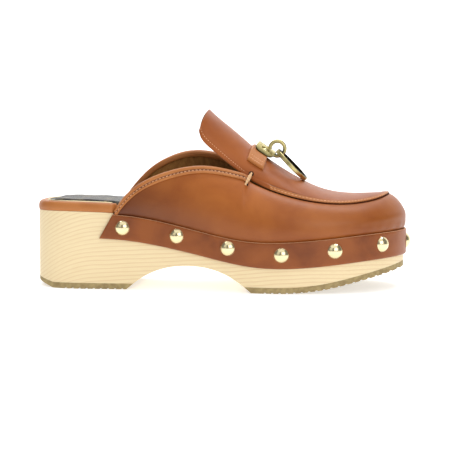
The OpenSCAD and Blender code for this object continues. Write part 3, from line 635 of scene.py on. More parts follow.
class Finishes:
    """Every finish on the clog, each built once."""

    def __init__(self) -> None:
        """Builds the materials."""
        self.wood = Wood("sanded wood", tone(240, 220, 178), tone(214, 176, 120), tone(222, 192, 142)).build()
        self.rubber = Rubber("sole rubber", tone(178, 158, 112), tone(150, 130, 90)).build()
        self.upper = Leather("upper leather", tone(178, 100, 34), tone(156, 80, 18), 0.44, 0.16).build()
        self.apron = Leather("apron leather", tone(160, 84, 22), tone(140, 68, 10), 0.48, 0.12).build()
        # Trim leather: the real colour of the rim, bindings and strap, and a painted highlight on the apron's
        # raised strip.
        self.trim_and_painted_highlight = Leather("trim leather", tone(184, 116, 60), tone(164, 96, 42), 0.48, 0.08).build()
        # Painted shade in the stitch grooves of the apron and the bindings.
        self.seam = Leather("seam groove painted shade", tone(126, 74, 42), tone(96, 52, 26), 0.6, 0.0).build()
        self.rand = Leather("rand leather", tone(146, 78, 28), tone(112, 52, 12), 0.42, 0.12, 0.07).build()
        self.cut = Plain("cut leather edge", tone(226, 172, 132), tone(200, 144, 104)).build()
        self.edge = Plain("burnished leather edge", tone(96, 48, 20), tone(70, 32, 12)).build()
        self.suede = Suede("lining suede", tone(172, 120, 62), tone(140, 92, 42)).build()
        self.thread = Plain("tan thread", tone(236, 186, 142), tone(206, 152, 108), 1800).build()
        self.cord = Plain("cream cord", tone(238, 200, 156), tone(204, 158, 112), 1200).build()
        # Painted shade for the punched holes at the bar tacks.
        self.hole = Plain("punched hole", tone(40, 18, 8), tone(24, 10, 4)).build()
        self.foil = Foil("crackled foil", tone(34, 29, 20), tone(8, 6, 4), tone(140, 124, 84)).build()
        self.gilt = Metal("gilt edge line", tone(226, 210, 168), tone(196, 174, 126), 0.4).build()
        self.nail = Metal("pale brass", tone(240, 226, 180), tone(230, 212, 158), 0.2).build()
        self.antique = Metal("antique brass", tone(200, 186, 128), tone(112, 98, 50), 0.3, 0.4, True).build()
        self.steel = Metal("tack steel", tone(170, 170, 168), tone(130, 128, 124), 0.35).build()
        self.foam = Plain("foam covering", tone(150, 96, 58), tone(120, 74, 42)).build()
        self.board = Plain("stiffener board", tone(222, 216, 200), tone(200, 192, 174)).build()


# --- The shoe's shape -----------------------------------------------------------------------------
@dataclass
class Last:
    """The curves that every part of the clog follows, the same as in the part."""

    ball_half: float = 45.5
    heel_half: float = 31.75
    ball_height: float = 35
    heel_rise: float = 18.6
    toe_rise: float = 6.6
    rand_top: float = 0.8
    rand_width: float = 17.2
    rand_slant: float = 0.55
    rand_end_outer: float = 21.5
    rand_end_inner: float = 15.7
    wall_bulge: float = 5.4
    tongue: float = 82.8
    layer_gap: float = 0.1
    apron_step: float = 0.9
    seam_inset: float = 0.35
    seam_part: float = 0.6
    toe_blend: float = 0.2
    seam_outer: float = 13.2
    seam_inner: float = 29
    toe_outer: float = 19.4
    toe_inner: float = 23.2
    toe_place: float = 12
    plan: Array = field(default_factory=lambda: np.array([
        [-36.2, 0, 0], [-34.5, -0.62, 0], [-18, -1, 0], [8, -1.02, 0], [36, -1.03, 0], [64, -0.78, 1],
        [92, -0.88, 1], [120, -1.03, 1], [148, -1.05, 1], [176, -0.97, 1], [202, -0.68, 1], [217, -0.28, 1],
        [223.6, 0.16, 1], [217, 0.6, 1], [198, 0.88, 1], [172, 0.985, 1], [144, 1, 1], [116, 0.9, 1],
        [88, 0.78, 1], [60, 1.03, 0], [32, 1.02, 0], [4, 1.02, 0], [-20, 1, 0], [-34.5, 0.62, 0],
    ]))
    heel_share: Array = field(default_factory=lambda: np.array(
        [1, 1.02, 1, 0.97, 0.87, 0.66, 0.4, 0.15, 0, 0, 0, 0, 0, 0, 0]))
    toe_share: Array = field(default_factory=lambda: np.array(
        [0, 0, 0, 0, 0, 0, 0, 0, 0.02, 0.06, 0.28, 0.6, 0.88, 1.02, 1.1]))
    rand_swell: Array = field(default_factory=lambda: np.array(
        [0, 0, 0, 0, 0, -0.2, -0.9, -0.8, -0.1, 0.7, 0.9, 0.9, 0.7, 0.4, 0.3]))
    top_line: Array = field(default_factory=lambda: np.array([
        [3.5, 0.2, 0.6], [3.61, -0.2, 5], [3.76, -0.6, 11], [4.07, -0.4, 20.5], [4.57, 1.2, 30],
        [5.1, 3.8, 38], [5.67, 7.2, 44.2], [6.15, 10, 44.9], [6.48, 11.9, 44], [6.67, 12.8, 43.2],
        [6.72, 12.8, 41.6],
        [6.76, 12.8, 39.6], [6.84, 12.7, 38.2], [7.17, 12.5, 35], [7.83, 11.2, 29], [8.36, 10, 25],
        [8.88, 9.4, 22], [9.44, 9.5, 20.2], [10, 9.7, 20.2], [10.67, 9.5, 21.4], [11.3, 9.7, 23.2],
        [11.95, 10, 24], [12.68, 10.2, 23.2], [13.4, 9.9, 21.4], [14.05, 9, 20.6], [14.63, 8.6, 21.2],
        [15.2, 8.6, 23.4], [15.72, 8.7, 26.4], [16.25, 8.8, 30.6], [16.77, 8.6, 36], [17.02, 8.4, 39.2],
        [17.09, 8.3, 41.4], [17.14, 8.3, 44], [17.22, 8.1, 46.2], [17.5, 6.9, 48.6], [17.9, 4.9, 51],
        [18.4, 2.5, 50.6], [18.88, 0.6, 46.4], [19.34, -0.4, 38.6], [19.74, -0.8, 30], [20.05, -0.8, 20],
        [20.27, -0.6, 11.5], [20.42, -0.2, 5], [20.55, 0.2, 0.6],
    ]))
    tongue_edge: Array = field(default_factory=lambda: np.array([
        [117, -30, 39.5], [110, -27.6, 44], [100.4, -27.2, 49.6], [91, -26.8, 55.6], [84.6, -26.6, 59.6],
        [81.4, -26.2, 62.6], [80.2, -25, 67],
    ]))
    ridge: Array = field(default_factory=lambda: np.array([
        [211.5, 0.296, 0.5], [197, 0.304, 0.45], [180, 0.322, 0.45], [163, 0.376, 0.5], [147, 0.487, 0.56],
        [131, 0.624, 0.64], [115, 0.752, 0.74], [104, 0.849, 0.84], [94, 0.927, 0.9], [85.1, 1, 0.92],
    ]))

    def __post_init__(self) -> None:
        """Works out the outline's points and the height of the wood along the foot."""
        half = np.where(self.plan[:, 2] == 1, self.ball_half, self.heel_half)
        self.plan_points = np.stack([self.plan[:, 0], self.plan[:, 1] * half], -1)
        self.heights = self.ball_height + self.heel_rise * self.heel_share + self.toe_rise * self.toe_share
        self.last_row = len(self.top_line) - 1

    def rim(self, s: Array) -> Array:
        """Returns points of the wood's outline from above, at places from 0 at the back of the heel."""
        return loop_spline(self.plan_points, s)

    def rim_normal(self, s: Array) -> Array:
        """Returns the outline's outward directions."""
        way = unit(self.rim(np.asarray(s) + 0.01) - self.rim(np.asarray(s) - 0.01))
        return np.stack([way[:, 1], -way[:, 0]], -1)

    def outline(self, s: Array, out: Array) -> Array:
        """Returns points of the outline moved outwards."""
        return self.rim(s) + np.asarray(out).reshape(-1, 1) * self.rim_normal(s)

    def wood_top(self, x: Array) -> Array:
        """Returns the height of the wood's top edge."""
        x = np.asarray(x, float)
        return spline(self.heights, (x.ravel() + 40) / 20)[:, 0].reshape(x.shape)

    def rand_high(self, x: Array) -> Array:
        """Returns the height of the rand's top edge."""
        return self.wood_top(x) - self.rand_top

    def rand_height(self, x: Array) -> Array:
        """Returns the rand's width from edge to edge."""
        x = np.asarray(x, float)
        return self.rand_width + spline(self.rand_swell, (x.ravel() + 40) / 20)[:, 0].reshape(x.shape)

    def place_at(self, x: Array, side: Side) -> Array:
        """Returns the place on the outline at a distance along the foot."""
        if side is Side.OUTER:
            s = np.linspace(1, 11, 2000)
            return np.interp(x, self.rim(s)[:, 0], s)
        s = np.linspace(23, 13, 2000)
        return np.interp(x, self.rim(s)[:, 0], s)

    def top_point(self, rows: Array) -> Array:
        """Returns points of the wall's top line for rows of the table."""
        p = self.rim(rows[:, 0]) - rows[:, 1:2] * self.rim_normal(rows[:, 0])
        return np.column_stack([p, self.wood_top(p[:, 0]) + rows[:, 2]])

    def wall(self, q: Array, v: Array) -> Array:
        """Returns the wall's outer face.

        Args:
            q: Places along the top line.
            v: Shares of the height, from 0 at the rand to 1 at the top line.

        Returns:
            A grid of points, a row to each place.
        """
        k = spline(self.top_line, q)
        n = self.rim_normal(k[:, 0])
        p = self.rim(k[:, 0]) - self.layer_gap * n
        foot = np.column_stack([p, self.rand_high(p[:, 0]) + self.layer_gap])
        top = self.top_point(k)
        rise = np.maximum(0.5, top[:, 2] - foot[:, 2])
        swell = self.wall_bulge * np.minimum(1, rise / 25)
        b = foot + np.column_stack([n * swell[:, None], rise * 0.33])
        c = np.column_stack([top[:, :2] + (foot[:, :2] - top[:, :2]) * 0.85, top[:, 2] - rise * 0.15])
        t = np.asarray(v)[None, :, None]
        return bezier(foot[:, None], b[:, None], c[:, None], top[:, None], t)

    def seam_point(self, q: Array) -> Array:
        """Returns points of the apron's edge above the top line."""
        k = spline(self.top_line, q)
        n = self.rim_normal(k[:, 0]) * self.seam_inset
        return self.top_point(k) + np.column_stack([-n, np.full(len(n), self.apron_step)])

    def edge_point(self, u: Array, side: Side) -> Array:
        """Returns the apron's edge on one side, from the toe at u = 0 to the tongue's end at u = 1."""
        outer = side is Side.OUTER
        toe_q, collar_q = (self.toe_outer, self.seam_outer) if outer else (self.toe_inner, self.seam_inner)
        rows = self.tongue_edge
        high = self.wood_top(rows[:, 0]) + rows[:, 2]
        tongue = np.column_stack([rows[:, 0], rows[:, 1] * side.value, high])
        chain = np.vstack([self.seam_point(np.array([collar_q])), tongue])
        seam = self.seam_point(toe_q + (collar_q - toe_q) * np.minimum(u, self.seam_part) / self.seam_part)
        free = spline(chain, np.maximum(u - self.seam_part, 0) / (1 - self.seam_part) * (len(chain) - 1))
        return np.where((u <= self.seam_part)[:, None], seam, free)

    def ridge_point(self, u: Array) -> Array:
        """Returns the ridge line down the middle of the apron."""
        k = spline(self.ridge, np.asarray(u) * (len(self.ridge) - 1))
        return np.column_stack([k[:, 0], np.zeros(len(k)), self.wood_top(k[:, 0]) + k[:, 1] * self.tongue])

    def apron_at(self, u: Array, w: Array) -> Array:
        """Returns the apron's upper face where u and w are arrays of one shape.

        Args:
            u: Shares from the toe to the tongue's end.
            w: Shares from the outer edge to the inner edge.

        Returns:
            Points in an array of the same shape.
        """
        shape = np.shape(u)
        u, w = np.ravel(u), np.ravel(w)
        flat = self._section_point(u, w)
        turn = (1 - np.minimum(1, u / self.toe_blend)) ** 2
        seam = self.seam_point(self.toe_outer + (self.toe_inner - self.toe_outer) * w)
        flat = flat + turn[:, None] * (seam - self._section_point(np.zeros_like(u), w))
        return flat.reshape(shape + (3,))

    def _section_point(self, u: Array, w: Array) -> Array:
        """Returns points of the apron's cross-sections before the toe is rounded."""
        a, d, mid = self.edge_point(u, Side.OUTER), self.edge_point(u, Side.INNER), self.ridge_point(u)
        lift = (8 * mid[:, 2] - a[:, 2] - d[:, 2]) / 6
        ahead = (8 * mid[:, 0] - a[:, 0] - d[:, 0]) / 6
        upright = spline(self.ridge, u * (len(self.ridge) - 1))[:, 2]
        b = np.column_stack([ahead, a[:, 1] * upright, lift])
        c = np.column_stack([ahead, d[:, 1] * upright, lift])
        return bezier(a, b, c, d, w[:, None])

    def apron(self, u: Array, w: Array) -> Array:
        """Returns a grid of the apron's upper face, a row to each w."""
        ww, uu = np.meshgrid(w, u, indexing="ij")
        return self.apron_at(uu, ww)

    def ridge_share(self, distance: Array) -> Array:
        """Returns the share u at a distance along the ridge from the tongue's end."""
        u = np.linspace(1, 0.2, 81)
        return np.interp(distance, run_length(self.ridge_point(u)), u)


LAST = Last()


def edge_distance(points: Array, edge: Array) -> Array:
    """Returns each point's distance to the nearest of an edge's points."""
    flat = points.reshape(-1, 3)
    least = np.full(len(flat), 1e9)
    for part in np.array_split(edge, max(1, len(edge) // 60)):
        least = np.minimum(least, np.linalg.norm(flat[:, None] - part[None], axis=-1).min(axis=1))
    return least.reshape(points.shape[:-1])


def paint(piece: bpy.types.Object, chosen: Callable[[Array, Array], Array], index: int = 1) -> None:
    """Gives some of a piece's faces another of its materials.

    Args:
        piece: The piece.
        chosen: Takes the faces' middles in millimetres and their normals, and says which faces.
        index: Place of the material among the piece's own.
    """
    faces = piece.data.polygons
    middles, normals = np.zeros(len(faces) * 3), np.zeros(len(faces) * 3)
    faces.foreach_get("center", middles)
    faces.foreach_get("normal", normals)
    mask = chosen(middles.reshape(-1, 3) / MM, normals.reshape(-1, 3))
    now = np.zeros(len(faces), dtype=np.int32)
    faces.foreach_get("material_index", now)
    faces.foreach_set("material_index", np.where(mask, index, now).astype(np.int32))


def shade_points(piece: bpy.types.Object, dark: Callable[[Array, Array], Array]) -> None:
    """Stores how much painted shade darkens the finish at each point of a piece.

    Args:
        piece: The piece, whose finish reads the stored value.
        dark: Gives the painted shade from 0 to 1 for points in millimetres and their normals.
    """
    mesh = piece.data
    points, normals = np.zeros(len(mesh.vertices) * 3), np.zeros(len(mesh.vertices) * 3)
    mesh.vertices.foreach_get("co", points)
    mesh.vertices.foreach_get("normal", normals)
    value = dark(points.reshape(-1, 3) / MM, normals.reshape(-1, 3))
    layer = mesh.attributes.new("patina_and_painted_shade", "FLOAT", "POINT")
    layer.data.foreach_set("value", np.clip(value, 0, 1))


# --- Sole -----------------------------------------------------------------------------------------
@dataclass
class Sole:
    """The wooden platform and its two rubber treads."""

    wood_edge: float = 1.1
    rubber_edge: float = 0.35

    def build(self, finish: Finishes) -> None:
        """Builds the wood and the treads from the part's own solids, with softened edges."""
        place(refined("wood_sole", "wood_platform", finish.wood, self.wood_edge), "wood", "wood_sole")
        for node in ("heel_tread", "forepart_tread"):
            place(refined(node, node + "_rubber", finish.rubber, self.rubber_edge), "tread_rubber", node)


# --- Footbed --------------------------------------------------------------------------------------
@dataclass
class Footbed:
    """The padded sock, the leather rim around the heel and the gilt line between them."""

    pad: float = 5.3
    sheet: float = 1.2
    turn: float = 6
    front_inset: float = 3.85
    outer_end: float = 27
    inner_end: float = 15.4
    tuck: float = 3.4
    tuck_from: float = 20.5
    tuck_length: float = 3
    crown: float = 1.6
    step_from: float = -25
    step_length: float = 4

    def _heel_places(self, count: int) -> Array:
        """Returns places along the rim, from its inner end around the heel to its outer end."""
        first = LAST.place_at(self.inner_end, Side.INNER)
        last = LAST.place_at(self.outer_end, Side.OUTER) + len(LAST.plan)
        return np.linspace(float(first), float(last), count)

    def crown_height(self, x: Array) -> Array:
        """Returns how high the padding lifts the sock: a step near the back, fading to the front."""
        step = ease((x - self.step_from) / self.step_length)
        return step * (1 - ease((x - 10) / 60)) * self.crown

    def rim(self, finish: Finishes) -> bpy.types.Object:
        """Builds the leather rim, turned in over the pad, with its outer end tucked in by the wall."""
        section = np.array([
            [0.1, 0.05], [-0.15, 1.2], [-0.3, 2.8], [-0.05, 4.6], [0.7, 6], [2, 6.65], [3.8, 6.7], [5.4, 6.5],
            [6, 6.2], [6, 5.5], [4.6, 5.25], [2.4, 5.3], [1.4, 4.6], [1.1, 3], [1.15, 1.2], [1.15, 0.05],
            [0.6, 0],
        ])
        ring = loop_spline(section, np.arange(0, len(section), 0.34))
        rows = []
        for s in self._heel_places(260):
            n, p = LAST.rim_normal([s])[0], LAST.rim([s])[0]
            tuck = self.tuck * ease((p[0] - self.tuck_from) / self.tuck_length) if p[1] < 0 else 0.0
            flat = p - (ring[:, 0:1] + tuck) * n
            rows.append(np.column_stack([flat, LAST.wood_top(flat[:, 0]) + ring[:, 1]]))
        return sweep("footbed_rim_leather", np.array(rows), finish.trim_and_painted_highlight)

    def gilt_line(self, finish: Finishes) -> bpy.types.Object:
        """Builds the narrow bright line along the rim's inner edge."""
        turn = np.arange(12) / 12 * 2 * math.pi
        inwards = self.turn + 0.5 + 0.55 * np.cos(turn)
        ring = np.column_stack([inwards, self.pad + self.sheet + 0.1 + 0.42 * np.sin(turn)])
        rows = []
        for s in self._heel_places(220)[4:-4]:
            n, p = LAST.rim_normal([s])[0], LAST.rim([s])[0]
            flat = p - ring[:, 0:1] * n
            rows.append(np.column_stack([flat, LAST.wood_top(flat[:, 0]) + ring[:, 1]]))
        return sweep("footbed_edge_line", np.array(rows), finish.gilt)

    def _inset(self, x: Array) -> Array:
        """Returns the sock's distance in from the wood's edge: less where it runs under the upper."""
        open_part = 1 - ease((x - 12) / 14)
        return self.front_inset + (self.turn + 0.35 - self.front_inset) * open_part

    def sock(self, finish: Finishes) -> bpy.types.Object:
        """Builds the padded sock over the whole footbed."""
        s = np.arange(0, len(LAST.plan), 0.06)
        inset = self._inset(LAST.rim(s)[:, 0])
        edge = LAST.outline(s, -inset)
        spine = np.column_stack([np.clip(edge[:, 0], -12, 186), np.where(edge[:, 0] > 100, 4.0, 0.0)])
        share = 1 - np.linspace(0, 1, 44) ** 1.6
        flat = spine[:, None] + (edge - spine)[:, None] * share[None, :, None]
        x = flat[..., 0]
        near = np.linalg.norm(flat - edge[:, None], axis=-1)
        dome = ease(near / 4)
        level = LAST.wood_top(x) + self.pad + self.sheet
        roll = -0.5 * (1 - ease(near / 1.2))
        wave = 0.12 * np.sin(x * 0.33 + 0.8 * np.sin(flat[..., 1] * 0.21)) * dome
        top = np.dstack([flat, level + self.crown_height(x) * dome + roll + wave])
        low = np.dstack([flat, LAST.wood_top(x) + self.pad + 0.02 + 0 * x])
        m, n = top.shape[:2]
        faces = []
        for start, flip in ((0, False), (m * n, True)):
            for i in range(m):
                k = (i + 1) % m
                a, b = start + i * n, start + k * n
                strip = [(a + j, a + j + 1, b + j + 1, b + j) for j in range(n - 1)]
                faces += [f[::-1] for f in strip] if flip else strip
        faces += [(i * n, ((i + 1) % m) * n, m * n + ((i + 1) % m) * n, m * n + i * n) for i in range(m)]
        points = np.concatenate([top.reshape(-1, 3), low.reshape(-1, 3)])
        piece = make_piece("footbed_sock", points, faces, finish.foil)
        shaped = bmesh.new()
        shaped.from_mesh(piece.data)
        bmesh.ops.remove_doubles(shaped, verts=shaped.verts, dist=0.02 * MM)
        shaped.to_mesh(piece.data)
        shaped.free()
        return piece

    def build(self, finish: Finishes) -> None:
        """Builds the footbed and dresses the pad below it."""
        place(self.rim(finish), "trim_leather", "footbed_rim")
        place(self.gilt_line(finish), "sock_leather")
        sock = place(self.sock(finish), "sock_leather", "sock_liner")
        dress("footbed_pad", finish.foam)


def dress(node: str, material: bpy.types.Material) -> None:
    """Gives a node of the part, which stays as it is, its finish."""
    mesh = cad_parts[node].data
    mesh.materials.clear()
    mesh.materials.append(material)
    log.info("%s: the part's own solid", node)


# --- Upper ----------------------------------------------------------------------------------------
@dataclass
class Upper:
    """The wall of the upper with its lining, and the apron that runs up into the tongue."""

    leather: float = 1.6
    lining: float = 0.8
    puff: float = 0.8
    columns: int = 520
    rows: int = 44
    apron_across: int = 120
    apron_along: int = 230
    bead: float = 0.75
    bead_width: float = 3.1
    toe_fold: float = 0.35

    def _wall(self) -> tuple[Array, Array, Array]:
        """Returns the wall's outer face, the places along it and the shares up it."""
        q = np.linspace(0, LAST.last_row, self.columns)
        v = np.linspace(0, 1, self.rows)
        grid = LAST.wall(q, v)
        p = LAST.rim(spline(LAST.top_line, q)[:, 0])
        low = grid[:, :1].copy()
        low[:, 0, 2] -= LAST.rand_height(p[:, 0]) - 2.5
        return np.concatenate([low, grid], axis=1), q, np.concatenate([[-1.0], v])

    def _life(self, q: Array, v: Array) -> Array:
        """Returns small hand-made unevenness of the wall: gathers above the rand and a fold at the toe."""
        qq, vv = np.meshgrid(q, v, indexing="ij")
        inside = np.clip(vv, 0, 1)
        toe = ease((qq - 14.5) / 4) * ease((29 - qq) / 4)
        gathers = 0.16 * toe * np.sin(qq * 9.3 + np.sin(qq * 2.1)) * bump(inside, 0.1, 0.14)
        slow = 0.22 * np.sin(qq * 1.7 + 3 * inside) * inside * (1 - inside)
        fold = self.toe_fold * toe * (bump(inside, 0.42, 0.1) - 0.7 * bump(inside, 0.24, 0.1))
        return np.where(vv < 0, 0, gathers + slow + fold)

    def vamp(self, finish: Finishes) -> bpy.types.Object:
        """Builds the wall's leather."""
        grid, q, v = self._wall()
        normals = grid_normals(grid)
        outer = grid + normals * self._life(q, v)[..., None]
        piece = shell("vamp_leather", outer, grid - normals * self.leather, finish.upper, finish.edge)
        # Painted shade, stored per point: darkest at the wall's low rear, a little at its low toe.
        shade_points(piece, self._painted_shade)
        return piece

    def _painted_shade(self, p: Array, n: Array) -> Array:
        """Returns the wall's painted shade: most at its low rear, least at the ball of the foot."""
        low = 1 - ease((p[:, 2] - LAST.wood_top(p[:, 0])) / 42)
        rear = 1 - ease((p[:, 0] - 10) / 110)
        toe = ease((p[:, 0] - 175) / 50)
        return 0.62 * rear * (0.45 + 0.55 * low) + 0.3 * low + 0.2 * toe * low

    def vamp_lining(self, finish: Finishes) -> bpy.types.Object:
        """Builds the wall's lining, with room for the stiffener around the toe."""
        grid, q, v = self._wall()
        normals = grid_normals(grid)
        qq, vv = np.meshgrid(q, v, indexing="ij")
        share = ease((qq - 15) / 3) * ease((27.5 - qq) / 3) * ease(vv / 0.25)
        face = -(self.leather + 0.1 + (self.puff + 0.1) * share)[..., None] * normals
        return shell("vamp_lining_suede", grid + face, grid + face - normals * self.lining, finish.suede)

    def _apron(self) -> tuple[Array, Array, Array]:
        """Returns the apron's face with its shares along and across."""
        u = np.linspace(0, 1, self.apron_along)
        w = 0.5 - 0.5 * np.cos(np.linspace(0, math.pi, self.apron_across))
        return LAST.apron(u, w), u, w

    def apron_edge(self, first: float = 0, last: float = 1, count: int = 500) -> Array:
        """Returns the apron's whole edge, from its outer end around the toe to its inner end."""
        u = np.linspace(last, first, count)
        outer = LAST.apron_at(u, np.zeros_like(u))
        inner = LAST.apron_at(u[::-1], np.ones_like(u))
        w = np.linspace(0, 1, 120)
        toe = LAST.apron_at(np.zeros_like(w), w)
        return np.concatenate([outer, toe[1:-1], inner])

    def apron(self, finish: Finishes) -> bpy.types.Object:
        """Builds the apron with the raised strip along its seam, a painted highlight on the strip and painted
        shade in the groove beside it.
        """
        grid, u, w = self._apron()
        normals = grid_normals(grid)
        far = edge_distance(grid, self.apron_edge(last=0.66))
        across = far / self.bead_width
        rise = np.sqrt(np.clip(1 - (1 - np.clip(far / 0.9, 0, 1)) ** 2, 0, 1))
        strip = rise * (1 - ease((across - 0.82) / 0.3)) * (1 - 0.35 * bump(across, 0.5, 0.18))
        groove = -0.3 * bump(far, self.bead_width + 0.25, 0.5)
        seam = 1 - ease((u - 0.56) / 0.08)
        uu = np.broadcast_to(u, far.shape)
        ww = np.broadcast_to(w[:, None], far.shape)
        slow = 0.25 * np.sin(uu * 17 + 2 * ww) * np.sin(ww * math.pi) ** 2
        out = (self.bead * strip + groove) * seam[None, :] + slow * ease(far / 8)
        free = 1 - seam[None, :]
        own = edge_distance(grid, self.apron_edge(0.5))
        out = out - free * 0.35 * (1 - ease(own / 0.9)) - free * 0.12 * bump(own, 3.0, 0.4)
        piece = shell("apron_leather", grid + normals * out[..., None], grid - normals * self.leather,
                      finish.apron, finish.edge, finish.trim_and_painted_highlight, finish.seam)
        middle = (far[1:, 1:] + far[:-1, 1:] + far[1:, :-1] + far[:-1, :-1]) / 4
        ours = (seam[1:] + seam[:-1])[None, :] / 2 > 0.5
        # Painted highlight: the raised strip's faces get the lighter trim leather.
        painted_highlight_faces = (middle < self.bead_width * 0.97) & ours
        # Painted shade: the groove beside the strip gets the dark seam leather.
        pressed = (np.abs(middle - self.bead_width - 0.25) < 0.35) & ours
        index = np.zeros(len(piece.data.polygons), dtype=np.int32)
        piece.data.polygons.foreach_get("material_index", index)
        index[: middle.size] = np.where(painted_highlight_faces, 2, np.where(pressed, 3, 0)).ravel()
        piece.data.polygons.foreach_set("material_index", index)
        return piece

    def apron_lining(self, finish: Finishes) -> bpy.types.Object:
        """Builds the lining under the apron."""
        u = np.linspace(1 / 30, 1, self.apron_along)
        grid = LAST.apron(u, np.linspace(0, 1, 60))
        normals = grid_normals(grid)
        face = grid - normals * (self.leather + 0.1)
        return shell("apron_lining_suede", face, face - normals * self.lining, finish.suede)

    def _inset_path(self, inset: float, first: float, last: float, count: int = 400) -> tuple[Array, Array]:
        """Returns a line on the apron a distance in from its edge, and the normals there."""
        grid, u, w = self._apron()
        normals = grid_normals(grid)
        points, ups = [], []

        def column(j: int, inner: bool) -> None:
            """Adds the point on one cross-section."""
            line = grid[::-1, j] if inner else grid[:, j]
            up = normals[::-1, j] if inner else normals[:, j]
            at = run_length(line)
            points.append([np.interp(inset, at, line[:, k]) for k in range(3)])
            ups.append([np.interp(inset, at, up[:, k]) for k in range(3)])

        def row(i: int) -> None:
            """Adds the point on one line from the toe."""
            at = run_length(grid[i])
            points.append([np.interp(inset, at, grid[i][:, k]) for k in range(3)])
            ups.append([np.interp(inset, at, normals[i][:, k]) for k in range(3)])

        for j in np.nonzero((u >= first) & (u <= last))[0][::-1]:
            column(j, False)
        if first <= 0.05:
            inside = np.nonzero((run_length(grid[:, 4]) > inset * 1.6)
                                & (run_length(grid[::-1, 4])[::-1] > inset * 1.6))[0]
            for i in inside:
                row(i)
        for j in np.nonzero((u >= first) & (u <= last))[0]:
            column(j, True)
        return np.array(points), np.array(ups)

    def seams(self, finish: Finishes) -> None:
        """Builds the stitches along the apron's strip and around the tongue."""
        path, up = self._inset_path(self.bead_width * 0.5, 0.03, 0.6)
        path = relaxed(path) + up * self.bead * 0.72
        place(stitches("apron_seam_stitches", path, up, finish.thread, 2.5, 1.9, 0.25, 0.3), "thread")
        for side in Side:
            grid, u, w = self._apron()
            normals = grid_normals(grid)
            keep = np.nonzero(u >= 0.69)[0]
            rows = []
            for j in keep:
                line = grid[:, j] if side is Side.OUTER else grid[::-1, j]
                ups = normals[:, j] if side is Side.OUTER else normals[::-1, j]
                at = run_length(line)
                rows.append([np.interp(3.0, at, line[:, k]) for k in range(3)]
                            + [np.interp(3.0, at, ups[:, k]) for k in range(3)])
            rows = np.array(rows)
            path, up = rows[:, :3] - rows[:, 3:] * 0.05, rows[:, 3:]
            name = f"tongue_{side.name.lower()}_stitches"
            place(stitches(name, path, up, finish.thread, 1.9, 1.4, 0.18, 0.2), "thread")

    def build(self, finish: Finishes) -> None:
        """Builds the upper's pieces and its seams."""
        place(self.vamp(finish), "upper_leather", "vamp")
        place(self.vamp_lining(finish), "lining_suede", "vamp_lining")
        place(self.apron(finish), "upper_leather", "apron")
        place(self.apron_lining(finish), "lining_suede", "apron_lining")
        dress("toe_puff", finish.board)
        self.seams(finish)


def relaxed(path: Array, times: int = 12) -> Array:
    """Returns a path with its small kinks smoothed out."""
    path = path.copy()
    for _ in range(times):
        path[1:-1] = (path[:-2] + 2 * path[1:-1] + path[2:]) / 4
    return path


